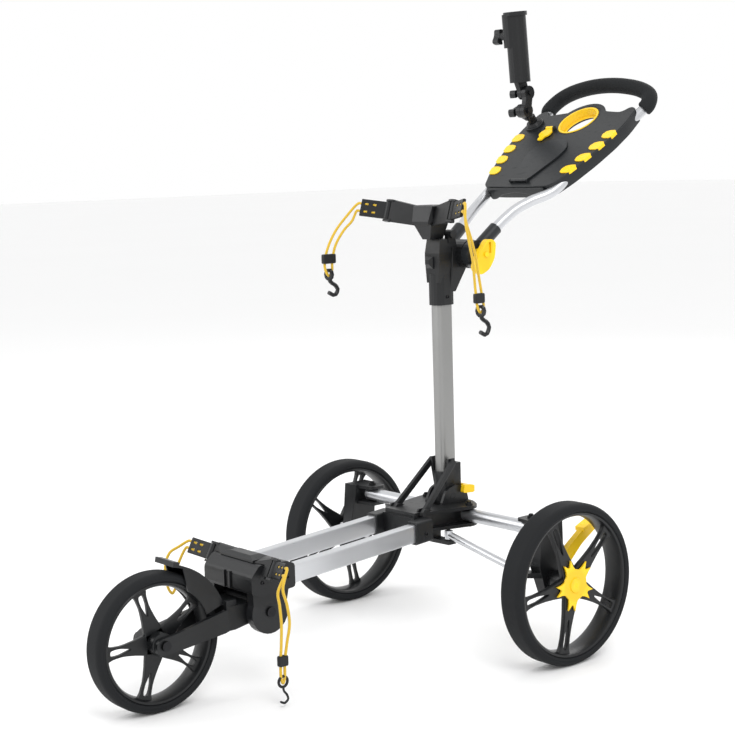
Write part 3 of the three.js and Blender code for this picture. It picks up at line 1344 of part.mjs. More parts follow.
const SCREW_Z = 94;
const SCREW_Y = -12;

function umbrellaTube() {
  const r = UMBRELLA_TUBE_RADIUS;
  const top = UMBRELLA_TUBE_LENGTH;
  const barrel = setTube(barZ(0, 0, 0, top, r, 24));
  const rim = setTube(barZ(0, 0, top - 8, top, r + 3, 24));
  const clamp = setTube(barZ(-6, -3, SCREW_Z - 24, top - 4, r, 20));
  const boss = setTube(barX(SCREW_Y, SCREW_Z, -r - 7, 0, 8, 14));
  const lug = eye(JOINT_HIGH, EYE_X, EYE_X + EYE_WIDTH);
  const neck = lump([
    ...corners(EYE_X, EYE_X + EYE_WIDTH, JOINT_HIGH.y - 12, JOINT_HIGH.y + 10, JOINT_HIGH.z, JOINT_HIGH.z + 6),
    ...corners(EYE_X, EYE_X + EYE_WIDTH, TUBE_FLOOR.y - 8, TUBE_FLOOR.y + 16, TUBE_FLOOR.z + 2, TUBE_FLOOR.z + 8),
  ]);
  const bore = setTube(barZ(0, 0, 6, top + REACH, UMBRELLA_BORE_RADIUS, 24));
  const thread = setTube(barX(SCREW_Y, SCREW_Z, -r - 20, 0, 3 + GAP, 10));
  const clear = barX(JOINT_HIGH.y, JOINT_HIGH.z, LINK_X - RUN, LINK_X + 20, JOINT_RADIUS + 2, 20);
  return piece('umbrella_tube', cut(join(barrel, rim, clamp, boss, lug, neck), bore, thread, clear, eyeHole(JOINT_HIGH)), BLACK);
}

// Two-winged knob on its own bolt, pointing out along -X.
function wingKnob(boltLength, boltRadius, x, y, z, turn) {
  const boltBar = bar(v3(-4, 0, 0), v3(boltLength, 0, 0), boltRadius, 10);
  const hub = bar(v3(-16, 0, 0), v3(-1, 0, 0), 7, 14, 8);
  const wing = plateX(roundedShape([[-5, -5], [-14, -10], [-16, 0], [-13, 8], [0, 5], [13, 8], [16, 0], [14, -10], [5, -5]], 4), -20, -5, 2);
  const end = [];
  if (boltRadius === KNOB_BOLT) {
    end.push(bar(v3(boltLength - 3, 0, 0), v3(boltLength, 0, 0), 6, 6));
  }
  return join(boltBar, hub, wing, ...end).rotateX(turn).translate(x, y, z);
}

function wingKnobs() {
  const reach = 2 * EYE_WIDTH + RUN + 5;
  const face = EYE_X;
  return [
    piece('wing_knob_lower', wingKnob(reach, KNOB_BOLT, face, JOINT_LOW.y, JOINT_LOW.z, 0.3), BLACK),
    piece('wing_knob_upper', wingKnob(reach, KNOB_BOLT, face, JOINT_HIGH.y, JOINT_HIGH.z, 0.1), BLACK),
    piece('tube_wing_screw', tubeScrew(), BLACK),
  ];
}

function tubeScrew() {
  const r = UMBRELLA_TUBE_RADIUS;
  return setTube(wingKnob(16, 3, -r - 7, SCREW_Y, SCREW_Z, 1.2));
}

// ---------------------------------------------------------------- bag cords

// Hand-placed middles of each cord below its tip, down to the bend at the hook and up again.
const CORDS = {
  upper_cord_left: [UPPER_TIP, 1, [
    [156, -84, 786], [155, -76, 752], [150, -62, 712], [144, -54, 684],
    [140, -47, 652], [140, -43, 628], [140, -36, 620], [140, -29, 628], [140, -33, 654],
    [142, -42, 690], [145, -50, 718], [147, -62, 752], [147, -72, 778],
  ]],
  upper_cord_right: [UPPER_TIP, -1, [
    [-152, -104, 792], [-153, -130, 766], [-151, -152, 734],
    [-147, -163, 706], [-146, -161, 692], [-146, -154, 684], [-146, -147, 692], [-145, -146, 710],
    [-144, -138, 740], [-144, -116, 768], [-144, -96, 784],
  ]],
  lower_cord_left: [LOWER_TIP, 1, [
    [151, -508, 204], [150, -500, 176], [147, -494, 142], [143, -498, 108],
    [141, -502, 78], [140, -503, 50], [140, -506.5, 42], [140, -510, 50], [140, -510, 78],
    [141, -508, 110], [142, -507, 144], [143, -510, 176], [144, -513, 198],
  ]],
  lower_cord_right: [LOWER_TIP, -1, [
    [-150, -512, 226], [-152, -530, 218], [-151, -541, 198], [-150, -541, 170],
    [-149, -537, 152], [-148, -531, 145], [-148, -525, 152], [-147, -523, 172], [-146, -519, 192],
  ]],
};

function cord(name) {
  const [tip, side, middle] = CORDS[name];
  const at = (out, up) => onTip(tip, side, tip.length + out, 0, tip.height * up);
  const points = [at(0.6, 0.22), at(7, 0.22), ...middle, at(7, -0.22), at(0.6, -0.22)];
  return piece(name, bare(sweep(points, circle(CORD_RADIUS), Math.round(points.length * 1.4), 4)), ELASTIC);
}

// Open plastic hook hanging in the bend of a cord.
function cordHook(name, bend, length, width) {
  const [x, y, z] = bend;
  const shape = new THREE.Shape();
  shape.absarc(0, 0, 11.5, 0, Math.PI * 2, false);
  const hole = new THREE.Path();
  hole.absarc(0, 0, CORD_RADIUS + 4, 0, Math.PI * 2, false);
  shape.holes.push(hole);
  const ring = plateX(shape, -3, 3, 5).rotateZ(Math.PI / 2);
  const route = [[0, 0, -8], [0, 4, -15], [0, 14, -21], [0, 20, -30], [0, 12, -length], [0, -2, -length + 6]];
  const claw = sweep(route, rectangle(8, width, 2), 10, 1);
  return piece(name, join(ring, claw).translate(x, y, z), BLACK);
}

function cordHooks() {
  return [
    cordHook('upper_hook_left', [140, -36, 622.5], 44, 7),
    cordHook('upper_hook_right', [-146, -154, 686.5], 40, 7),
  ];
}

// ---------------------------------------------------------------- the whole trolley

const chassis = groupAt(0, 0, 0, rearBlock(), frontHousing(), ...SIDES.map(beam), lowerCradle());
const bolt = pivotBolt('front_pivot_bolt', FORK_PIVOT.y, FORK_PIVOT.z, CHEEK_OUT_X, PIVOT_BOLT_RADIUS, 9, 4);
chassis.add(bolt);

const lowerTips = SIDES.map(({ name, side }) => {
  const { hinge, height, length, swing, lean } = LOWER_TIP;
  const mesh = piece(`lower_tip_${name}`, cradleTip(height, length, TIP_THICKNESS, TIP_BARREL), BLACK);
  return tipGroup(hinge, side, swing, lean, mesh);
});
const upperTips = SIDES.map(({ name, side }) => {
  const { hinge, height, length, swing, lean } = UPPER_TIP;
  const mesh = piece(`upper_tip_${name}`, cradleTip(height, length, TIP_THICKNESS, TIP_BARREL), BLACK);
  return tipGroup(hinge, side, swing, lean, mesh);
});

const rearArms = SIDES.flatMap((s) => [axleTube(s), linkRod(s), wheelCarrier(s), stubAxle(s), rearWheel(s)]);
const mast = groupAt(0, 0, 0, mastTube(), mastFoot(), ...SIDES.map(strut), foldLatch(), headCasting(), upperCradle());
const handle = groupAt(0, 0, 0, handleTube(), foamGrip(), ...SIDES.map(yoke), lockLever());
const consoleSet = [consoleShell(), consoleLid(), cardClip(), cupLiner(), ...SIDES.map(padStrip)];
const umbrella = [umbrellaBase(), umbrellaLink(), umbrellaTube(), ...wingKnobs()];
handle.add(...consoleSet, ...umbrella);

const trolley = new THREE.Group();
trolley.add(chassis, frontAssembly(), ...lowerTips, ...upperTips, ...rearArms, brakeLever(), mast, handle);

// The exported origin is the middle of the footprint, leaving the cords and their hooks out.
trolley.updateMatrixWorld(true);
const footprint = new THREE.Box3().setFromObject(trolley, true);
const middle = footprint.getCenter(new THREE.Vector3());
trolley.add(...Object.keys(CORDS).map(cord), ...cordHooks());
trolley.position.set(-middle.x, -middle.y, -footprint.min.z);

export default trolley;
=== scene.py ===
"""Folding three-wheeled golf push trolley: finishes, finer meshes, cords, camera and studio."""

import logging
import math
from collections.abc import Callable
from dataclasses import dataclass, field
from enum import Enum

import bpy
from mathutils import Matrix, Vector

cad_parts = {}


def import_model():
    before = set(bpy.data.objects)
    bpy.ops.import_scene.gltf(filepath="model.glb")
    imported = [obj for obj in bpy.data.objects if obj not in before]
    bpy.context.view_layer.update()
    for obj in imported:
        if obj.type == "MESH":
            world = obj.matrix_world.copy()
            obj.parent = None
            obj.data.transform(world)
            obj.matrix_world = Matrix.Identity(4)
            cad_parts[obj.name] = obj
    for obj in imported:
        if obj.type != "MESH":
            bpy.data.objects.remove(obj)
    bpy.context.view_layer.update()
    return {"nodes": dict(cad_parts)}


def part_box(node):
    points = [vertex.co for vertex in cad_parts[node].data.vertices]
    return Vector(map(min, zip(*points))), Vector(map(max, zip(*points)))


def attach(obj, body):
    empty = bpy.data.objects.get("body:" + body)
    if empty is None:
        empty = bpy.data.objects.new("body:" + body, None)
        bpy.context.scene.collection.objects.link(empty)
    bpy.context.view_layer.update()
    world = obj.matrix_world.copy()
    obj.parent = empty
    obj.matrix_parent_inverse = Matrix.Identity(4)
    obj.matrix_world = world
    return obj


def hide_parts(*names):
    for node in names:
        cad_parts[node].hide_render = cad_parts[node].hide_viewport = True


logging.basicConfig(level=logging.INFO, format="%(message)s")
log = logging.getLogger("trolley")

MM = 0.001
Point = tuple[float, float, float]
Outline = list[tuple[float, float]]


# ---------------------------------------------------------------- shader maths


class Wire:
    """A shader value: a node's output, with arithmetic that adds Math nodes."""

    def __init__(self, graph: "Graph", socket: bpy.types.NodeSocket) -> None:
        """Keeps the socket and the graph that it belongs to."""
        self.graph = graph
        self.socket = socket

    def _math(self, operation: str, *values: "Wire | float") -> "Wire":
        """Adds one Math node.

        Args:
            operation: the Math node's operation.
            values: its inputs, in order.

        Returns:
            The node's result.
        """
        inputs = dict(enumerate(values))
        return self.graph.node("ShaderNodeMath", {"operation": operation}, inputs)

    def __add__(self, other: "Wire | float") -> "Wire":
        """Sum."""
        return self._math("ADD", self, other)

    __radd__ = __add__

    def __sub__(self, other: "Wire | float") -> "Wire":
        """Difference."""
        return self._math("SUBTRACT", self, other)

    def __rsub__(self, other: float) -> "Wire":
        """Difference with the number first."""
        return self._math("SUBTRACT", other, self)

    def __mul__(self, other: "Wire | float") -> "Wire":
        """Product."""
        return self._math("MULTIPLY", self, other)

    __rmul__ = __mul__

    def __truediv__(self, other: "Wire | float") -> "Wire":
        """Quotient."""
        return self._math("DIVIDE", self, other)

    def power(self, exponent: float) -> "Wire":
        """This value raised to a power."""
        return self._math("POWER", self, exponent)

    def clip(self) -> "Wire":
        """This value held between 0 and 1."""
        return self._math("MINIMUM", self._math("MAXIMUM", self, 0.0), 1.0)

    def step(self, low: float, high: float) -> "Wire":
        """A smooth step.

        Args:
            low: where the result leaves 0.
            high: where the result reaches 1.

        Returns:
            A value between 0 and 1.
        """
        sockets = {"Value": self, "From Min": low, "From Max": high}
        settings = {"interpolation_type": "SMOOTHSTEP"}
        return self.graph.node("ShaderNodeMapRange", settings, sockets)


@dataclass
class Graph:
    """The node tree of one material."""

    material: bpy.types.Material

    def __post_init__(self) -> None:
        """Empties the tree."""
        self.material.use_nodes = True
        self.tree = self.material.node_tree
        self.tree.nodes.clear()

    def node(self, kind: str, settings: dict, sockets: dict, output: str | int = 0) -> Wire:
        """Adds one node.

        Args:
            kind: the node's type name.
            settings: its properties, set first.
            sockets: values or wires for its inputs, by name or number.
            output: which output to return.

        Returns:
            The chosen output.
        """
        made = self.tree.nodes.new(kind)
        for name, value in settings.items():
            if name == "stops":
                self._stops(made, value)
            else:
                setattr(made, name, value)
        for name, value in sockets.items():
            if isinstance(value, Wire):
                self.tree.links.new(value.socket, made.inputs[name])
            else:
                made.inputs[name].default_value = value
        return Wire(self, made.outputs[output])

    @staticmethod
    def _stops(ramp: bpy.types.Node, stops: list[tuple[float, float]]) -> None:
        """Sets a colour ramp's grey stops.

        Args:
            ramp: the ramp node.
            stops: position and grey level of each stop.
        """
        elements = ramp.color_ramp.elements
        while len(elements) < len(stops):
            elements.new(0.5)
        for element, (position, grey) in zip(elements, stops):
            element.position = position
            element.color = (grey, grey, grey, 1.0)

    def place(self, stretch: Point = (1.0, 1.0, 1.0)) -> Wire:
        """The surface's own coordinates.

        Args:
            stretch: scale along each axis.

        Returns:
            A vector wire.
        """
        own = self.node("ShaderNodeTexCoord", {}, {}, "Object")
        return self.node("ShaderNodeMapping", {}, {"Vector": own, "Scale": stretch})

    def noise(self, scale: float, detail: float = 3.0, stretch: Point = (1.0, 1.0, 1.0)) -> Wire:
        """Fractal noise.

        Args:
            scale: how fine it is, per metre.
            detail: octaves.
            stretch: scale along each axis.

        Returns:
            A value between 0 and 1.
        """
        sockets = {"Vector": self.place(stretch), "Scale": scale, "Detail": detail}
        return self.node("ShaderNodeTexNoise", {}, sockets)

    def cells(self, scale: float, feature: str = "F1") -> Wire:
        """Distance in a pattern of cells, such as foam pores or a moulded grain.

        Args:
            scale: cells per metre.
            feature: which distance is measured.

        Returns:
            A distance.
        """
        sockets = {"Vector": self.place(), "Scale": scale}
        return self.node("ShaderNodeTexVoronoi", {"feature": feature}, sockets)

    def edges(self) -> Wire:
        """1 on convex edges and 0 on flats, for wear."""
        point = self.node("ShaderNodeNewGeometry", {}, {}, "Pointiness")
        return point.step(0.52, 0.6)

    def mix(self, factor: Wire, first: Point, second: Point) -> Wire:
        """Mixes two colours.

        Args:
            factor: 0 gives the first and 1 the second.
            first: a colour.
            second: a colour.

        Returns:
            The mixed colour.
        """
        made = self.tree.nodes.new("ShaderNodeMix")
        made.data_type = "RGBA"
        self.tree.links.new(factor.socket, made.inputs["Factor"])
        made.inputs[6].default_value = (*first, 1.0)
        made.inputs[7].default_value = (*second, 1.0)
        return Wire(self, made.outputs[2])

    def bump(self, height: Wire, depth: float, strength: float = 1.0) -> Wire:
        """A bumped normal.

        Args:
            height: the height value.
            depth: how far the height reaches, in metres.
            strength: share of the bump that is used.

        Returns:
            A normal.
        """
        sockets = {"Height": height, "Distance": depth, "Strength": strength}
        return self.node("ShaderNodeBump", {}, sockets, "Normal")

    def surface(self, sockets: dict) -> None:
        """Ends the tree in a surface shader.

        Args:
            sockets: values or wires for its inputs.
        """
        shader = self.node("ShaderNodeBsdfPrincipled", {}, sockets)
        end = self.tree.nodes.new("ShaderNodeOutputMaterial")
        self.tree.links.new(shader.socket, end.inputs["Surface"])


# ---------------------------------------------------------------- finishes


def shade(colour: Point, factor: float) -> Point:
    """A colour made lighter or darker."""
    return tuple(min(1.0, c * factor) for c in colour)


@dataclass(frozen=True)
class Finish:
    """What every finish shares: its name and a slot name."""

    name: str
    slot: str

    def material(self) -> bpy.types.Material:
        """The finish's material, made once."""
        found = bpy.data.materials.get(self.name)
        if found:
            return found
        made = bpy.data.materials.new(self.name)
        self.build(Graph(made))
        return made

    def build(self, graph: Graph) -> None:
        """Fills the node tree; each finish has its own."""
        raise NotImplementedError


@dataclass(frozen=True)
class MouldedPlastic(Finish):
    """Injection-moulded plastic with a fine spark grain, flow variation and rubbed edges."""

    colour: Point = (0.02, 0.021, 0.023)
    gloss: float = 0.42
    grain: float = 1500.0
    depth: float = 0.00006
    wear: float = 1.5

    def build(self, graph: Graph) -> None:
        """Fills the node tree."""
        flow = graph.noise(9.0, 4.0)
        grain = graph.cells(self.grain)
        scuff = graph.noise(70.0, 6.0, (1.0, 3.0, 1.0)).step(0.56, 0.72)
        rubbed = (graph.edges() * 0.7 + scuff * 0.16).clip()
        tone = (flow * 0.55 + rubbed).clip()
        base = graph.mix(tone, shade(self.colour, 0.86), shade(self.colour, self.wear))
        rough = flow * 0.12 + (self.gloss - 0.06) + scuff * 0.12 - graph.edges() * 0.08
        normal = graph.bump(grain + flow * 0.4, self.depth, 0.55)
        sockets = {"Base Color": base, "Roughness": rough, "Normal": normal, "Specular IOR Level": 0.35}
        graph.surface(sockets)


@dataclass(frozen=True)
class SatinAlloy(Finish):
    """Extruded aluminium under satin lacquer, with fine drawing lines along one axis."""

    colour: Point = (0.6, 0.61, 0.63)
    gloss: float = 0.3
    lines: Point = (900.0, 12.0, 900.0)

    def build(self, graph: Graph) -> None:
        """Fills the node tree."""
        lines = graph.noise(1.0, 5.0, self.lines)
        haze = graph.noise(14.0, 3.0)
        scuff = graph.noise(160.0, 6.0).step(0.64, 0.75)
        tone = (lines * 0.35 + haze * 0.4 + graph.edges() * 0.25).clip()
        base = graph.mix(tone, shade(self.colour, 0.9), shade(self.colour, 1.12))
        rough = lines * 0.14 + haze * 0.1 + scuff * 0.1 + (self.gloss - 0.1)
        normal = graph.bump(lines, 0.00003, 0.5)
        sockets = {"Base Color": base, "Roughness": rough, "Metallic": 0.92, "Normal": normal}
        sockets["Coat Weight"] = 0.25
        sockets["Coat Roughness"] = 0.25
        graph.surface(sockets)


@dataclass(frozen=True)
class PlatedSteel(Finish):
    """Plated bolts and pins, bright or blackened, slightly mottled."""

    colour: Point = (0.48, 0.48, 0.49)

    def build(self, graph: Graph) -> None:
        """Fills the node tree."""
        mottle = graph.noise(220.0, 5.0)
        base = graph.mix(mottle, shade(self.colour, 0.75), shade(self.colour, 1.2))
        rough = mottle * 0.25 + 0.2
        normal = graph.bump(mottle, 0.00004, 0.4)
        graph.surface({"Base Color": base, "Roughness": rough, "Metallic": 1.0, "Normal": normal})


@dataclass(frozen=True)
class SolidFoam(Finish):
    """Closed-cell foam: skinned pores for the grip, a duller dusty skin for the tyres."""

    colour: Point = (0.022, 0.023, 0.025)
    pores: float = 1100.0
    depth: float = 0.00025
    dust: float = 0.25

    def build(self, graph: Graph) -> None:
        """Fills the node tree."""
        pores = graph.cells(self.pores)
        coarse = graph.cells(self.pores * 0.35)
        cloud = graph.noise(16.0, 5.0)
        specks = graph.noise(480.0, 2.0).step(0.62, 0.7)
        tone = (cloud * 0.5 + specks * self.dust + graph.edges() * 0.3).clip()
        base = graph.mix(tone, shade(self.colour, 0.8), shade(self.colour, 1.9))
        rough = cloud * 0.14 + 0.66
        normal = graph.bump(pores * 0.7 + coarse * 0.5, self.depth, 0.7)
        sockets = {"Base Color": base, "Roughness": rough, "Normal": normal, "Specular IOR Level": 0.25}
        graph.surface(sockets)


@dataclass(frozen=True)
class WovenElastic(Finish):
    """Braided elastic cord: crossing yarns that run round the cord."""

    colour: Point = (0.86, 0.55, 0.02)

    def build(self, graph: Graph) -> None:
        """Fills the node tree."""
        up = {"wave_type": "BANDS", "bands_direction": "DIAGONAL"}
        down = {"wave_type": "BANDS", "bands_direction": "Z"}
        first = graph.node("ShaderNodeTexWave", up, {"Vector": graph.place((1, 1, 1)), "Scale": 260.0}, 1)
        second = graph.node("ShaderNodeTexWave", down, {"Vector": graph.place((1, 1, 1)), "Scale": 330.0}, 1)
        braid = (first * 0.5 + second * 0.5).clip()
        fuzz = graph.noise(900.0, 3.0)
        base = graph.mix((braid * 0.8 + fuzz * 0.3).clip(), shade(self.colour, 0.5), self.colour)
        normal = graph.bump(braid, 0.0004, 0.8)
        rough = fuzz * 0.15 + 0.62
        graph.surface({"Base Color": base, "Roughness": rough, "Normal": normal, "Sheen Weight": 0.3})


@dataclass(frozen=True)
class PaleFloor(Finish):
    """Matt white studio floor."""

    def build(self, graph: Graph) -> None:
        """Fills the node tree."""
        cloud = graph.noise(0.6, 2.0)
        base = graph.mix(cloud, (0.93, 0.93, 0.93), (0.95, 0.95, 0.95))
        graph.surface({"Base Color": base, "Roughness": 0.7, "Specular IOR Level": 0.2})


class Coat(Enum):
    """Every finish on the trolley, by the piece's maker's name for it."""

    BLACK = MouldedPlastic("black moulding", "black_plastic", (0.0065, 0.007, 0.0078), 0.4)
    RIM = MouldedPlastic("black rim moulding", "black_plastic", (0.006, 0.0066, 0.0074), 0.36, 2400.0)
    CONSOLE = MouldedPlastic("console moulding", "black_plastic", (0.011, 0.0125, 0.014), 0.38, 1300.0)
    YELLOW = MouldedPlastic(
        "yellow moulding", "yellow_plastic", (0.9, 0.58, 0.012), 0.34, 2200.0, 0.00003, 1.1
    )
    TYRE = SolidFoam("tyre foam", "foam_tyre", (0.007, 0.0078, 0.009), 700.0, 0.0002, 0.3)
    FOAM = SolidFoam("grip foam", "foam_sleeve", (0.008, 0.009, 0.01), 1200.0, 0.0003, 0.12)
    ALLOY = SatinAlloy("satin alloy", "silver_alloy", lines=(900.0, 10.0, 900.0))
    ALLOY_MAST = SatinAlloy("satin mast alloy", "silver_alloy", (0.3, 0.3, 0.295), 0.42, (900.0, 900.0, 10.0))
    ALLOY_CROSS = SatinAlloy("satin axle alloy", "silver_alloy", lines=(10.0, 900.0, 900.0))
    STEEL = PlatedSteel("plated steel", "steel")
    DARK_STEEL = PlatedSteel("blackened steel", "steel", (0.03, 0.03, 0.032))
    CORD = WovenElastic("yellow braid", "elastic_cord")


# ---------------------------------------------------------------- workshop


def catmull(points: list[Point], steps: int) -> list[Vector]:
    """A centripetal curve through points.

    Args:
        points: what the curve passes through.
        steps: pieces between two neighbouring points.

    Returns:
        Points along the curve.
    """
    known = [Vector(p) for p in points]
    ends = [known[0] * 2 - known[1], *known, known[-1] * 2 - known[-2]]
    line = []
    for i in range(1, len(ends) - 2):
        a, b, c, d = ends[i - 1 : i + 3]
        knots = [0.0]
        for p, q in ((a, b), (b, c), (c, d)):
            knots.append(knots[-1] + max(1e-6, (q - p).length) ** 0.5)
        for k in range(steps):
            t = knots[1] + (knots[2] - knots[1]) * k / steps
            line.append(_barry(t, knots, a, b, c, d))
    line.append(known[-1])
    return line


def _barry(t: float, k: list[float], a: Vector, b: Vector, c: Vector, d: Vector) -> Vector:
    """One point of a centripetal curve.

    Args:
        t: the knot value.
        k: the four knots.
        a: first control point.
        b: second control point.
        c: third control point.
        d: fourth control point.

    Returns:
        The point at t.
    """

    def blend(p: Vector, q: Vector, low: float, high: float) -> Vector:
        """Straight mix of two points between two knots."""
        return p * ((high - t) / (high - low)) + q * ((t - low) / (high - low))

    first, second, third = blend(a, b, k[0], k[1]), blend(b, c, k[1], k[2]), blend(c, d, k[2], k[3])
    return blend(blend(first, second, k[0], k[2]), blend(second, third, k[1], k[3]), k[1], k[2])


def rounded(points: Outline, radius: float, arc: int = 6) -> Outline:
    """A closed outline with its corners rounded.

    Args:
        points: the corners in order.
        radius: how far each rounding reaches.
        arc: pieces in each rounding.

    Returns:
        The new outline.
    """
    out: Outline = []
    count = len(points)
    for i, here in enumerate(points):
        p = Vector(here)
        back = Vector(points[i - 1]) - p
        ahead = Vector(points[(i + 1) % count]) - p
        r = min(radius, back.length * 0.45, ahead.length * 0.45)
        start, end = p + back.normalized() * r, p + ahead.normalized() * r
        for k in range(arc + 1):
            t = k / arc
            q = start * (1 - t) ** 2 + p * (2 * t * (1 - t)) + end * t**2
            out.append((q.x, q.y))
    return out


def circle(radius: float, count: int = 48, x: float = 0.0, y: float = 0.0) -> Outline:
    """Points round a circle.

    Args:
        radius: its radius.
        count: how many points.
        x: its middle across.
        y: its middle up.

    Returns:
        The outline.
    """
    turns = [2 * math.pi * i / count for i in range(count)]
    return [(x + radius * math.cos(a), y + radius * math.sin(a)) for a in turns]


@dataclass
class Workshop:
    """Makes meshes in millimetres from the chassis origin and puts them in the frame in metres."""

    shift: Vector = field(default_factory=Vector)
    made: int = 0

    def settle(self) -> None:
        """Finds the chassis origin from the rear wheel and tyre."""
        low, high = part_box("rear_tyre_left")
        self.shift = Vector((0.0, (low.y + high.y) / 2, low.z))

    def at(self, point: Point) -> Vector:
        """A chassis point in the frame, in metres."""
        return Vector(point) * MM + self.shift

    def finish(
        self, name: str, mesh: bpy.types.Mesh, coat: Coat, body: str, nodes: tuple[str, ...]
    ) -> bpy.types.Object:
        """Turns a mesh into a dressed piece that rides on its body.

        Args:
            name: the piece's name.
            mesh: its mesh, already in the frame.
            coat: its finish.
            body: the body it rides on.
            nodes: the frame nodes that it stands for.

        Returns:
            The piece.
        """
        piece = bpy.data.objects.new(name, mesh)
        bpy.context.scene.collection.objects.link(piece)
        mesh.materials.clear()
        mesh.materials.append(coat.value.material())
        smooth(mesh)
        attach(piece, body)
        if nodes:
            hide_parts(*nodes)
        self.made += 1
        log.info("%s on %s", name, body)
        return piece

    def raw(self, verts: list[Vector], faces: list[tuple[int, ...]]) -> bpy.types.Mesh:
        """A mesh from points and faces."""
        mesh = bpy.data.meshes.new("raw")
        mesh.from_pydata([tuple(v) for v in verts], [], faces)
        mesh.validate()
        return mesh

    def turned(self, profile: Outline, middle: Point, axis: Point, sides: int = 96) -> bpy.types.Mesh:
        """A solid of revolution.

        Args:
            profile: radius and distance along the axis, a closed loop or one from axis to axis.
            middle: where distance 0 lies.
            axis: the direction of the axis.
            sides: pieces round.

        Returns:
            The mesh.
        """
        turn = Vector((0, 0, 1)).rotation_difference(Vector(axis)).to_matrix()
        rows = []
        verts: list[Vector] = []
        for radius, along in profile:
            if radius < 1e-6:
                rows.append([len(verts)] * sides)
                verts.append(self.at(middle) + turn @ Vector((0, 0, along)) * MM)
                continue
            rows.append(list(range(len(verts), len(verts) + sides)))
            for i in range(sides):
                a = 2 * math.pi * i / sides
                local = Vector((radius * math.cos(a), radius * math.sin(a), along))
                verts.append(self.at(middle) + turn @ local * MM)
        closed = profile[0][0] > 1e-6
        pairs = list(zip(rows, rows[1:] + rows[:1])) if closed else list(zip(rows, rows[1:]))
        faces = []
        for low, high in pairs:
            for i in range(sides):
                j = (i + 1) % sides
                corners = [low[i], low[j], high[j], high[i]]
                face = tuple(dict.fromkeys(corners))
                if len(face) > 2:
                    faces.append(face)
        return outward(self.raw(verts, faces))

    def swept(self, line: list[Vector], radius: float, sides: int = 28, ends: float = 0.0) -> bpy.types.Mesh:
        """A round tube along a line.

        Args:
            line: points in the frame, in metres.
            radius: in millimetres.
            sides: pieces round.
            ends: length over which each end is rounded off, in millimetres.

        Returns:
            The mesh.
        """
        total = sum((b - a).length for a, b in zip(line, line[1:]))
        verts: list[Vector] = []
        faces: list[tuple[int, ...]] = []
        along = 0.0
        tangent = (line[1] - line[0]).normalized()
        side = tangent.orthogonal().normalized()
        for i, p in enumerate(line):
            before, after = line[max(0, i - 1)], line[min(len(line) - 1, i + 1)]
            fresh = (after - before).normalized()
            side = (tangent.rotation_difference(fresh).to_matrix() @ side).normalized()
            tangent = fresh
            other = tangent.cross(side)
            along += (p - before).length
            inset = min(along, total - along)
            size = radius * MM
            if ends and inset < ends * MM:
                size *= 0.72 + 0.28 * math.sqrt(max(0.0, 1 - (1 - inset / (ends * MM)) ** 2))
            for k in range(sides):
                a = 2 * math.pi * k / sides
                verts.append(p + side * (size * math.cos(a)) + other * (size * math.sin(a)))
        for i in range(len(line) - 1):
            for k in range(sides):
                m = (k + 1) % sides
                faces.append((i * sides + k, i * sides + m, (i + 1) * sides + m, (i + 1) * sides + k))
        faces.append(tuple(range(sides)))
        last = (len(line) - 1) * sides
        faces.append(tuple(range(last, last + sides)))
        return outward(self.raw(verts, faces))

    def plate(
        self, outlines: list[Outline], depth: float, place: Matrix, edge: float = 0.8
    ) -> bpy.types.Mesh:
        """A flat plate with softened edges, drawn in a plane and given a thickness.

        Args:
            outlines: the outer outline, then any holes.
            depth: its thickness.
            place: puts the plate's plane in the chassis, in millimetres; its thickness goes along +Z.
            edge: size of the softened edge.

        Returns:
            The mesh.
        """
        curve = bpy.data.curves.new("plate", "CURVE")
        curve.dimensions = "2D"
        curve.fill_mode = "BOTH"
        curve.extrude = max(0.01, depth / 2 - edge)
        curve.bevel_depth = edge
        curve.bevel_resolution = 2
        curve.offset = -edge
        for outline in outlines:
            spline = curve.splines.new("POLY")
            spline.points.add(len(outline) - 1)
            for point, (u, v) in zip(spline.points, outline):
                point.co = (u, v, 0.0, 1.0)
            spline.use_cyclic_u = True
        holder = bpy.data.objects.new("plate", curve)
        bpy.context.scene.collection.objects.link(holder)
        graph = bpy.context.evaluated_depsgraph_get()
        mesh = bpy.data.meshes.new_from_object(holder.evaluated_get(graph))
        bpy.data.objects.remove(holder)
        mesh.transform(place @ Matrix.Translation((0, 0, depth / 2)))
        mesh.transform(Matrix.Translation(self.shift) @ Matrix.Scale(MM, 4))
        return mesh

    def joined(self, meshes: list[bpy.types.Mesh]) -> bpy.types.Mesh:
        """Several meshes as one."""
        verts: list[Vector] = []
        faces: list[tuple[int, ...]] = []
        for mesh in meshes:
            start = len(verts)
            verts.extend(v.co.copy() for v in mesh.vertices)
            faces.extend(tuple(start + i for i in f.vertices) for f in mesh.polygons)
        return self.raw(verts, faces)


def smooth(mesh: bpy.types.Mesh, angle: float = 32.0) -> None:
    """Shades a mesh smooth between edges sharper than an angle, in degrees."""
    mesh.shade_smooth()
    mesh.set_sharp_from_angle(angle=math.radians(angle))


def outward(mesh: bpy.types.Mesh) -> bpy.types.Mesh:
    """The mesh with every face pointing out."""
    import bmesh

    work = bmesh.new()
    work.from_mesh(mesh)
    bmesh.ops.recalc_face_normals(work, faces=work.faces)
    work.to_mesh(mesh)
    work.free()
    return mesh


def upright(x: float = 0.0, y: float = 0.0, z: float = 0.0) -> Matrix:
    """A plane drawn in Y and Z with its thickness along +X."""
    turn = Matrix(((0, 0, 1), (1, 0, 0), (0, 1, 0))).to_4x4()
    return Matrix.Translation((x, y, z)) @ turn


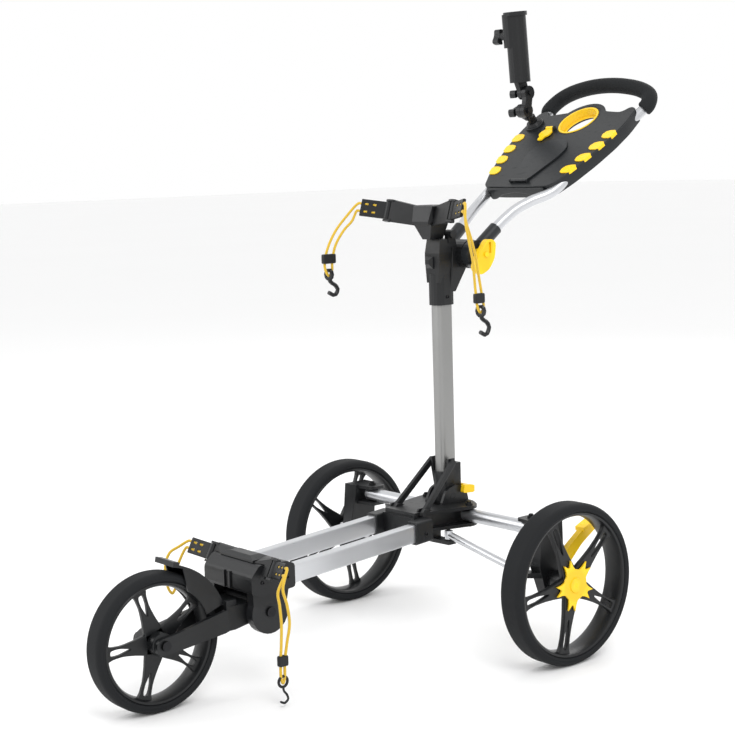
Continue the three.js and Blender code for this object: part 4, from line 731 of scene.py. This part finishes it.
@dataclass
class Dresser:
    """Gives the frame's own nodes their finish and soft edges."""

    nodes: dict

    def dress(self, coat: Coat, edge: float, *names: str) -> None:
        """Dresses nodes that keep their shape.

        Args:
            coat: the finish.
            edge: size of the softened edges, in millimetres.
            names: the nodes.
        """
        for name in names:
            node = self.nodes[name]
            mesh = node.data
            if mesh.users > 1:
                log.info("%s shares its mesh", name)
            mesh.materials.clear()
            mesh.materials.append(coat.value.material())
            smooth(mesh, 28.0)
            soft = node.modifiers.new("soft edges", "BEVEL")
            soft.width = edge * MM
            soft.segments = 3
            soft.limit_method = "ANGLE"
            soft.angle_limit = math.radians(32.0)
            soft.harden_normals = False
            log.info("%s dressed", name)


# ---------------------------------------------------------------- sub-assemblies


@dataclass
class Wheel:
    """One wheel: foam tyre, split-spoke rim and hub."""

    shop: Workshop
    label: str
    body: str
    tyre_node: str
    rim_node: str
    middle: Point
    radius: float
    width: float
    side: int
    hub_radius: float
    hub: tuple[float, float]
    web: float
    web_depth: float
    depth: float = 15.0
    rim_depth: float = 7.0
    spokes: int = 5
    phase: float = -0.21

    def tyre(self) -> None:
        """Builds the smooth tyre with round shoulders and a thin mould line on each side."""
        half, r, seat = self.width / 2, self.radius, self.radius - self.depth
        flank = [(seat, -half + 3), (seat + 2, -half + 0.8), (seat + 4, -half + 0.3), (seat + 6, -half + 0.9)]
        for k in range(9):
            a = math.radians(90 * k / 8)
            flank.append((r - 9 + 9 * math.sin(a), -half + 12 - 11.4 * math.cos(a)))
        profile = flank + [(u, -w) for u, w in reversed(flank)]
        mesh = self.shop.turned(profile, self.middle, (1, 0, 0), 144)
        self.shop.finish(f"{self.label}_tyre", mesh, Coat.TYRE, self.body, (self.tyre_node,))

    def spoke(self, turn: float) -> bpy.types.Mesh:
        """One split spoke.

        Args:
            turn: its angle round the hub.

        Returns:
            The mesh.
        """
        hub, reach = self.hub_radius, self.radius - self.depth - self.rim_depth + 1.0
        span = reach - hub
        stops = [(19, hub * 0.4), (15.6, hub + span * 0.12), (12.4, hub + span * 0.3), (10, hub + span * 0.5)]
        stops += [(9.2, reach - 28), (10.4, reach - 12), (14.5, reach)]
        outer = stops + [(-u, v) for u, v in reversed(stops)]
        start, end = hub + span * 0.4, reach - 8
        slot = [(0.8, start), (3.2, start + span * 0.14), (5.2, (start + end) / 2)]
        slot += [(5.6, end - 8), (4.2, end)]
        hole = slot + [(-u, v) for u, v in reversed(slot)]
        place = Matrix.Translation(self.middle) @ Matrix.Rotation(turn, 4, "X")
        place = place @ upright(self.web - self.web_depth / 2)
        return self.shop.plate([rounded(outer, 3, 4), rounded(hole, 3, 4)], self.web_depth, place, 1.6)

    def rim(self) -> None:
        """Builds the rim, its spokes and its hub."""
        outer, half = self.radius - self.depth - 0.3, self.width / 2 - 3
        inner = outer - self.rim_depth
        barrel = [(outer - 1.5, -half), (outer, -half + 1), (outer, half - 1), (outer - 1.5, half)]
        barrel += [(inner + 2, half - 1.2), (inner - 0.5, half - 6), (inner - 2, half * 0.3)]
        barrel += [(inner - 2.4, 0.0)]
        barrel += [(inner - 2, -half * 0.3), (inner - 0.5, 6 - half), (inner + 2, 1.2 - half)]
        low, high = self.hub
        r = self.hub_radius
        hub = [(5.4, low), (r - 3, low), (r - 0.6, low + 0.8), (r, low + 3)]
        hub += [(r, high - 3), (r - 0.8, high - 0.8)]
        hub += [(r - 3, high), (5.4, high)]
        parts = [self.shop.turned(barrel, self.middle, (1, 0, 0), 144)]
        parts.append(self.shop.turned(hub, self.middle, (1, 0, 0), 48))
        for i in range(self.spokes):
            parts.append(self.spoke(2 * math.pi * i / self.spokes + math.pi + self.phase))
        mesh = self.shop.joined(parts)
        self.shop.finish(f"{self.label}_rim", mesh, Coat.RIM, self.body, (self.rim_node,))

    def build(self) -> None:
        """Builds the whole wheel."""
        self.tyre()
        self.rim()


@dataclass
class Screws:
    """Socket-head screws that show on the castings."""

    shop: Workshop
    count: int = 0

    def add(
        self, body: str, place: Point, axis: Point, radius: float = 4.2, coat: Coat = Coat.DARK_STEEL
    ) -> None:
        """Adds one screw head.

        Args:
            body: what it rides on.
            place: the middle of the face it sits on.
            axis: the direction its head faces.
            radius: of the head.
            coat: its finish.
        """
        self.count += 1
        top, well = radius * 0.62, radius * 0.5
        profile = [(0.0, -0.4), (radius, -0.4), (radius, top - 0.7), (radius - 0.7, top), (well, top)]
        profile += [(well, top * 0.25), (0.0, top * 0.2)]
        mesh = self.shop.turned(profile, place, axis, 24)
        self.shop.finish(f"screw_{self.count:02d}", mesh, coat, body, ())


@dataclass
class CordSet:
    """The elastic bag cords: each leaves its tip, goes round its hook if it has one, and comes back."""

    shop: Workshop
    nodes: dict
    radius: float = 2.5

    def tip_point(self, tip: dict, side: int, along: float, through: float, up: float) -> Point:
        """A point of a cradle tip on the trolley.

        Args:
            tip: the tip's hinge, swing, lean, length and height.
            side: 1 on the left and -1 on the right.
            along: distance from the hinge.
            through: distance from the tip's middle plane.
            up: distance above its middle.

        Returns:
            The chassis point.
        """
        point = Vector((along, through, up))
        point.rotate(Matrix.Rotation(-tip["swing"], 3, "Z"))
        point.rotate(Matrix.Rotation(-tip["lean"], 3, "X"))
        point += Vector(tip["hinge"])
        return (point.x * side, point.y, point.z)

    def cord(
        self, node: str, body: str, tip: dict, side: int, middle: list[Point], hook: str | None, *extras
    ) -> None:
        """Builds one cord with its slider and hook.

        Args:
            node: the frame node that it stands for.
            body: what it rides on.
            tip: the tip that it leaves.
            side: 1 on the left and -1 on the right.
            middle: listed points between the tip's slots.
            hook: the hook's node, if it has one.
            extras: what makes each further piece on the cord, from a name and a body.
        """

        def at(out: float, up: float) -> Point:
            """A point beyond the tip's end."""
            return self.tip_point(tip, side, tip["length"] + out, 0, tip["height"] * up)

        points = [at(0.6, 0.22), at(7, 0.22), *middle, at(7, -0.22), at(0.6, -0.22)]
        line = catmull([tuple(self.shop.at(p)) for p in points], 8)
        length = sum((b - a).length for a, b in zip(line, line[1:]))
        mesh = self.shop.swept(line, self.radius, 14)
        piece = self.shop.finish(f"{node}_braid", mesh, Coat.CORD, body, (node,))
        pieces = [self.nodes[hook]] if hook else []
        pieces += [make(node, body) for make in extras]
        self.stitches(node, body, tip, side)
        log.info("%s is %.0f mm long", node, length / MM)

    def build(self) -> None:
        """Builds all four cords."""
        top = {"hinge": (90, -52, 802), "height": 33, "length": 56, "swing": 0.44, "lean": 0.3}
        low = {"hinge": (92, -482, 221), "height": 29, "length": 48, "swing": 0.3, "lean": 0.5}
        near = [(156, -84, 786), (155, -76, 752), (150, -62, 712), (144, -54, 684), (140, -47, 652)]
        near += [(140, -43, 628), (140, -36, 620), (140, -29, 628), (140, -33, 654), (142, -42, 690)]
        near += [(145, -50, 718), (147, -62, 752), (147, -72, 778)]
        far = [(-152, -104, 792), (-153, -130, 766), (-151, -152, 734), (-147, -163, 706)]
        far += [(-146, -161, 692), (-146, -154, 684), (-146, -147, 692), (-145, -146, 710)]
        far += [(-144, -138, 740), (-144, -116, 768), (-144, -96, 784)]
        front = [(151, -508, 204), (150, -500, 176), (147, -494, 142), (143, -498, 108), (141, -502, 78)]
        front += [(140, -503, 50), (140, -506.5, 42), (140, -510, 50), (140, -510, 78), (141, -508, 110)]
        front += [(142, -507, 144), (143, -510, 176), (144, -513, 198)]
        short = [(-150, -512, 226), (-152, -530, 218), (-151, -541, 198), (-150, -541, 170)]
        short += [(-149, -537, 152), (-148, -531, 145), (-148, -525, 152), (-147, -523, 172)]
        short += [(-146, -519, 192)]
        slide = self.slider
        extra = slide((140.5, -40, 646), 13)
        self.cord("upper_cord_left", "top_tip_left", top, 1, near, "upper_hook_left", extra)
        extra = slide((-145.5, -154, 716), 20)
        self.cord("upper_cord_right", "top_tip_right", top, -1, far, "upper_hook_right", extra)
        extras = (slide((140.7, -506, 80), 9), self.front_hook)
        self.cord("lower_cord_left", "low_tip_left", low, 1, front, None, *extras)
        self.cord("lower_cord_right", "low_tip_right", low, -1, short, None)

    def slider(self, place: Point, spread: float) -> Callable[[str, str], bpy.types.Object]:
        """Plans the black slider that both strands of a cord run through.

        Args:
            place: its middle.
            spread: distance between the strands.

        Returns:
            What makes the slider.
        """

        def make(name: str, body: str) -> bpy.types.Object:
            """Makes the slider for a named cord."""
            half = spread / 2 + 4.6
            shape = rounded([(-half, -9), (half, -9), (half, 9), (-half, 9)], 3.2, 5)
            turn = Matrix.Translation((place[0] - 4.5, place[1], place[2])) @ upright()
            mesh = self.shop.plate([shape], 9, turn, 1.4)
            return self.shop.finish(f"{name}_slider", mesh, Coat.BLACK, body, ())

        return make

    def front_hook(self, name: str, body: str) -> bpy.types.Object:
        """Makes the small hook on the lowest cord.

        Args:
            name: the cord's name.
            body: what it rides on.

        Returns:
            The hook.
        """
        x, y, z = 140.0, -506.5, 44.5
        ring = [(9.0 + 2.4 * math.cos(a), 2.4 * math.sin(a)) for a in (math.pi * k / 6 for k in range(12))]
        parts = [self.shop.turned(ring, (x, y, z), (1, 0, 0), 32)]
        route = [(x, y, z - 9), (x, y + 1, z - 16), (x, y + 7, z - 24), (x, y + 9, z - 32)]
        route += [(x, y + 2, z - 37), (x, y - 7, z - 33)]
        line = catmull([tuple(self.shop.at(p)) for p in route], 6)
        parts.append(self.shop.swept(line, 2.0, 14, 3.0))
        return self.shop.finish(f"{name}_hook", self.shop.joined(parts), Coat.BLACK, body, ())

    def stitches(self, name: str, body: str, tip: dict, side: int) -> None:
        """Shows the cord inside the four slots of its tip.

        Args:
            name: the cord's name.
            body: what it rides on.
            tip: the tip's hinge, swing, lean, length and height.
            side: 1 on the left and -1 on the right.
        """
        parts = []
        for up in (-0.22, 0.22):
            ends = (0.38, 1.0)
            spots = [self.tip_point(tip, side, tip["length"] * e, 0.3, tip["height"] * up) for e in ends]
            line = [self.shop.at(spot) for spot in spots]
            run = [line[0].lerp(line[1], k / 5) for k in range(6)]
            parts.append(self.shop.swept(run, self.radius * 0.95, 12))
        self.shop.finish(f"{name}_inside", self.shop.joined(parts), Coat.CORD, body, ())


@dataclass
class RearArms:
    """The two folding arms with their tubes and link rods."""

    shop: Workshop
    pivot: float = 60.0
    length: float = 162.0
    height: float = 231.0
    tube_radius: float = 12.5
    rod_radius: float = 7.0

    def build(self) -> None:
        """Builds both sides."""
        for name, side in (("left", 1), ("right", -1)):
            tube_end = self.pivot + self.length + 10
            ends = [(side * (self.pivot - 10), 0, self.height), (side * tube_end, 0, self.height)]
            line = [self.shop.at(ends[0]).lerp(self.shop.at(ends[1]), k / 6) for k in range(7)]
            mesh = self.shop.swept(line, self.tube_radius, 48)
            tube_node = (f"axle_tube_{name}",)
            self.shop.finish(f"arm_tube_{name}", mesh, Coat.ALLOY_CROSS, f"arm_{name}", tube_node)
            inner = (side * (self.pivot + 13), -65, 206)
            outer = (side * (self.pivot + 13 + self.length), -65, 173)
            a, b = self.shop.at(inner), self.shop.at(outer)
            rod = self.shop.swept([a.lerp(b, 0.03 + 0.94 * k / 6) for k in range(7)], self.rod_radius, 36)
            parts = [rod]
            for place in (inner, outer):
                eye = [(3.3, -8), (7.2, -8), (8, -7.2), (8, 7.2), (7.2, 8), (3.3, 8)]
                parts.append(self.shop.turned(eye, place, (0, 0, 1), 36))
            mesh = self.shop.joined(parts)
            self.shop.finish(f"rod_{name}_bar", mesh, Coat.ALLOY_CROSS, f"rod_{name}", (f"link_rod_{name}",))


@dataclass
class Mast:
    """The mast tube with its drawn oval section."""

    shop: Workshop
    width: float = 27.0
    depth: float = 36.0
    corner: float = 10.0
    low: float = 259.0
    high: float = 675.0

    def build(self) -> None:
        """Builds the tube."""
        w, d = self.width / 2, self.depth / 2
        outline = rounded([(-w, -d), (w, -d), (w, d), (-w, d)], self.corner, 10)
        place = Matrix.Translation((0, -3, self.low))
        mesh = self.shop.plate([outline], self.high - self.low, place, 0.3)
        self.shop.finish("mast_section", mesh, Coat.ALLOY_MAST, "mast", ("mast_tube",))


@dataclass
class Console:
    """The console's frame of reference and its fine shell, skirt and cup ring."""

    shop: Workshop
    tilt: float = math.radians(35)
    origin: Point = (0.0, 295.0, 907.0)
    cup: tuple[float, float] = (2.0, 100.0)
    cup_radius: float = 44.0
    rim: float = 14.0
    deep: float = 27.0
    skin: float = 3.5

    def plane(self, w: float = 0.0) -> Matrix:
        """The plane of the console's top face, raised by w."""
        place = Matrix.Translation(self.origin) @ Matrix.Rotation(self.tilt, 4, "X")
        return place @ Matrix.Translation((0, 0, w))

    def spot(self, x: float, v: float, w: float) -> Point:
        """A chassis point from console coordinates."""
        return tuple(self.plane() @ Vector((x, v, w)))

    def outline(self, inset: float = 0.0) -> Outline:
        """The console's outline with the round end over the cup.

        Args:
            inset: how far it is drawn in.

        Returns:
            The outline.
        """
        edge = [(34, -120), (88, -118), (108, -75), (124, -20), (134, 35), (136, 85), (130, 132), (112, 140)]
        edge += [(98, 122), (70, 126)]
        right = [(x - inset, v + (inset if v < -100 else -inset * 0.5)) for x, v in edge]
        ring = self.cup_radius + self.rim - inset * 0.6
        cx, cv = self.cup
        arc = []
        for k in range(13):
            a = math.radians(30 + 120 * k / 12)
            arc.append((cx + ring * math.cos(a), cv + ring * math.sin(a)))
        left = [(-x, v) for x, v in reversed(right)]
        soft = rounded([*right, arc[0], arc[-1], *left], 13, 6)
        cut = [p for p in soft if not (abs(p[0]) < 56 - inset * 0.6 and p[1] > 118)]
        first = next(i for i, p in enumerate(cut) if p[0] < 0 and p[1] > 60)
        return cut[:first] + arc + cut[first:]

    def shell(self) -> None:
        """Builds the skin and the wall below it."""
        hole = circle(self.cup_radius, 72, *self.cup)
        skin = self.shop.plate([self.outline(), hole], self.skin, self.plane(-self.skin), 1.4)
        edges = [self.outline(0.3), self.outline(5)]
        wall = self.shop.plate(edges, self.deep - 2, self.plane(-self.deep), 1.0)
        ring = [circle(self.cup_radius + 5, 72, *self.cup), hole]
        collar = self.shop.plate(ring, self.deep, self.plane(-self.deep), 0.6)
        parts = [skin, wall, collar, self.skirt()]
        parts.append(self.shop.plate([circle(20, 48, -108, 88)], 8, self.plane(-3), 1.5))
        for x, half, v, w, r in ((0, 20, -104, 4, 3), (-50, 9, 70, 5, 3.4)):
            for s in (-1, 1):
                a = x + s * (half + 0.6) + (0 if s > 0 else -4)
                ear = rounded([(v - r, -2), (v + r, -2), (v + r, w + r), (v - r, w + r)], 2.4, 6)
                parts.append(self.shop.plate([ear], 4, self.plane() @ upright(a), 0.5))
        mesh = self.shop.joined(parts)
        self.shop.finish("console_moulding", mesh, Coat.CONSOLE, "handle", ("console_shell",))

    def skirt(self) -> bpy.types.Mesh:
        """The arched skirt below the front edge."""
        half = [(76, -2), (74, -27), (60, -26), (38, -15)]
        shape = [(-x, w) for x, w in half] + [(0, -10)] + half[::-1]
        turn = Matrix.Translation((0, -119, 0)) @ Matrix.Rotation(math.pi / 2, 4, "X")
        return self.shop.plate([rounded(shape, 6)], 7, self.plane() @ turn, 1.6)

    def liner(self) -> None:
        """Builds the yellow ring inside the cup hole, with its shelf."""
        r = self.cup_radius - 0.3
        points = [(36.4, -20), (r - 0.5, -20), (r, -19.5), (r, 0.2), (r - 0.6, 0.8)]
        points += [(r - 3.8, 0.8), (r - 4.5, 0.1), (r - 4.5, -16.6), (r - 5, -17)]
        points += [(36.4, -17), (36, -17.4), (36, -19.6)]
        axis = tuple(self.plane().to_3x3() @ Vector((0, 0, 1)))
        mesh = self.shop.turned(points, self.spot(*self.cup, 0.0), axis, 96)
        self.shop.finish("cup_ring", mesh, Coat.YELLOW, "handle", ("cup_liner",))

    def build(self) -> None:
        """Builds the shell and the cup ring."""
        self.shell()
        self.liner()


@dataclass
class Handle:
    """The bent handle tube and the foam grip over it."""

    shop: Workshop
    console: Console
    radius: float = 10.0
    grip: float = 15.5
    below: float = -16.4

    def build(self) -> None:
        """Builds the tube and the grip."""
        start = [(45.5, 63, 738), (48, 97, 765), (52, 119, 782), (58, 143, 798), (69, 172, 812)]
        start += [(86, 207, 826)]
        rows = ((97, -60), (107, 0), (115, 60), (122, 115), (127, 150))
        run = [self.console.spot(x, v, self.below) for x, v in rows]
        bow = [(132, 434, 988), (122, 452, 1007), (96, 458, 1020), (48, 459, 1030), (0, 459, 1033)]
        half = [*start, *run, *bow]
        whole = half[:-1] + [half[-1]] + [(-x, y, z) for x, y, z in reversed(half[:-1])]
        line = catmull([tuple(self.shop.at(p)) for p in whole], 8)
        mesh = self.shop.swept(line, self.radius, 32)
        self.shop.finish("handle_bend", mesh, Coat.ALLOY, "handle", ("handle_tube",))
        half = [run[-1], *bow]
        whole = half[:-1] + [half[-1]] + [(-x, y, z) for x, y, z in reversed(half[:-1])]
        line = catmull([tuple(self.shop.at(p)) for p in whole], 14)
        mesh = self.shop.swept(line, self.grip, 36, 5.0)
        piece = self.shop.finish("grip_sleeve", mesh, Coat.FOAM, "handle", ("foam_grip",))


@dataclass
class Studio:
    """Floor, soft light and the camera."""

    azimuth: float = math.radians(50.28)
    elevation: float = math.radians(7.27)
    roll: float = math.radians(-1.717)
    focal: float = 1610.1
    eye: Point = (2225.09, -2036.70, 894.18)

    def camera(self, shop: Workshop) -> None:
        """Sets the camera up.

        Args:
            shop: gives the chassis origin.
        """
        a, e = self.azimuth, self.elevation
        back = Vector((math.sin(a) * math.cos(e), -math.cos(a) * math.cos(e), math.sin(e)))
        level = Vector((math.cos(a), math.sin(a), 0))
        above = back.cross(level)
        right = level * math.cos(self.roll) + above * math.sin(self.roll)
        up = above * math.cos(self.roll) - level * math.sin(self.roll)
        data = bpy.data.cameras.new("view")
        data.sensor_width = 36.0
        data.lens = self.focal / 735 * 36.0
        data.clip_end = 200
        holder = bpy.data.objects.new("view", data)
        matrix = Matrix((right, up, back)).transposed().to_4x4()
        matrix.translation = shop.at(self.eye)
        holder.matrix_world = matrix
        bpy.context.scene.collection.objects.link(holder)
        bpy.context.scene.camera = holder

    def lamp(self, name: str, place: Point, size: float, watts: float) -> None:
        """Adds one soft box that faces the trolley.

        Args:
            name: its name.
            place: where it stands, in metres.
            size: its side.
            watts: its power.
        """
        data = bpy.data.lights.new(name, "AREA")
        data.shape = "SQUARE"
        data.size = size
        data.energy = watts
        lamp = bpy.data.objects.new(name, data)
        aim = Vector((0, 0, 0.5)) - Vector(place)
        lamp.rotation_euler = aim.to_track_quat("-Z", "Y").to_euler()
        lamp.location = place
        bpy.context.scene.collection.objects.link(lamp)

    def build(self) -> None:
        """Builds the floor, the sky and the lamps."""
        mesh = bpy.data.meshes.new("floor")
        size = 40.0
        corners = [(-size, -size, 0), (size, -size, 0), (size, size, 0), (-size, size, 0)]
        mesh.from_pydata(corners, [], [(0, 1, 2, 3)])
        floor = bpy.data.objects.new("floor", mesh)
        bpy.context.scene.collection.objects.link(floor)
        mesh.materials.append(PaleFloor("studio floor", "floor").material())
        sky = bpy.data.worlds.new("studio")
        sky.use_nodes = True
        background = sky.node_tree.nodes["Background"]
        background.inputs["Color"].default_value = (1.0, 1.0, 1.0, 1.0)
        background.inputs["Strength"].default_value = 1.0
        bpy.context.scene.world = sky
        self.lamp("key box", (2.6, -1.2, 3.2), 1.8, 60.0)
        self.lamp("side box", (-2.4, -2.8, 2.2), 2.2, 35.0)
        self.lamp("back box", (-1.0, 3.2, 2.8), 2.0, 30.0)
        bpy.context.scene.view_settings.view_transform = "Standard"


# ---------------------------------------------------------------- the whole trolley


def dress_frame(nodes: dict) -> None:
    """Dresses the frame's nodes that keep their shape."""
    dresser = Dresser(nodes)
    both = ("left", "right")
    dresser.dress(Coat.BLACK, 1.4, "rear_block", "front_housing", "fork", "head_casting", "mast_foot")
    dresser.dress(Coat.BLACK, 1.2, "upper_bag_cradle", "lower_bag_cradle", "mudguard")
    dresser.dress(Coat.BLACK, 0.8, "umbrella_base", "umbrella_link", "umbrella_tube")
    dresser.dress(Coat.BLACK, 0.8, "wing_knob_lower", "wing_knob_upper", "tube_wing_screw")
    dresser.dress(Coat.CONSOLE, 0.6, "console_lid", *(f"handle_yoke_{s}" for s in both))
    dresser.dress(Coat.YELLOW, 0.6, "card_clip", "brake_lever", "lock_lever", "fold_latch")
    dresser.dress(Coat.YELLOW, 0.6, *(f"grip_pads_{s}" for s in both), *(f"hub_star_{s}" for s in both))
    dresser.dress(Coat.DARK_STEEL, 0.5, "front_axle", "front_pivot_bolt")
    dresser.dress(Coat.STEEL, 0.5, *(f"stub_axle_{s}" for s in both))
    dresser.dress(Coat.ALLOY, 0.5, *(f"beam_{s}" for s in both))
    for s in both:
        dresser.dress(Coat.BLACK, 1.3, f"wheel_carrier_{s}", f"strut_{s}")
        dresser.dress(Coat.BLACK, 0.6, f"upper_tip_{s}", f"lower_tip_{s}", f"upper_hook_{s}")


def fix_screws(shop: Workshop) -> None:
    """Adds the screw heads that show on the castings."""
    screws = Screws(shop)
    for side in (1, -1):
        body = "left" if side > 0 else "right"
        screws.add("chassis", (side * 60, 0, 254.6), (0, 0, 1), 4.6)
        screws.add(f"carrier_{body}", (side * 222, 0, 254.6), (0, 0, 1), 4.6)
        screws.add("chassis", (side * 70, -118, 216), (side, 0, 0), 3.6)
        screws.add("chassis", (side * 70, -438, 197), (side, 0, 0), 3.6)
        screws.add("chassis", (side * 70, -490, 196), (side, 0, 0), 3.6)
        screws.add("mast", (side * 17.5, -3, 300), (side, 0, 0), 3.4)
        screws.add("mast", (side * 17.5, -3, 640), (side, 0, 0), 3.4)


def main() -> None:
    """Builds the trolley in order: camera and cords first, then every sub-assembly."""
    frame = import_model()
    shop = Workshop()
    shop.settle()
    studio = Studio()
    studio.camera(shop)
    nodes = frame["nodes"]
    CordSet(shop, nodes).build()
    dress_frame(nodes)
    for side, name in ((1, "left"), (-1, "right")):
        hub = (side * -21.4, side * 18.0)
        Wheel(
            shop,
            label=f"rear_{name}",
            body=f"rear_wheel_{name}",
            tyre_node=f"rear_tyre_{name}",
            rim_node=f"rear_rim_{name}",
            middle=(side * 307, 0, 145),
            radius=145,
            width=50,
            side=side,
            hub_radius=22,
            hub=(min(hub), max(hub)),
            web=side * 12.0,
            web_depth=10,
            phase=side * -0.21,
        ).build()
    Wheel(
        shop,
        label="front",
        body="front_wheel",
        tyre_node="front_tyre",
        rim_node="front_rim",
        middle=(0, -666, 118),
        radius=118,
        width=46,
        side=1,
        hub_radius=20,
        hub=(-28.4, 28.4),
        web=8,
        web_depth=9,
        phase=-0.31,
    ).build()
    RearArms(shop).build()
    Mast(shop).build()
    console = Console(shop)
    console.build()
    Handle(shop, console).build()
    fix_screws(shop)
    studio.build()
    log.info("%d pieces made", shop.made)


if __name__ == "__main__":
    main()
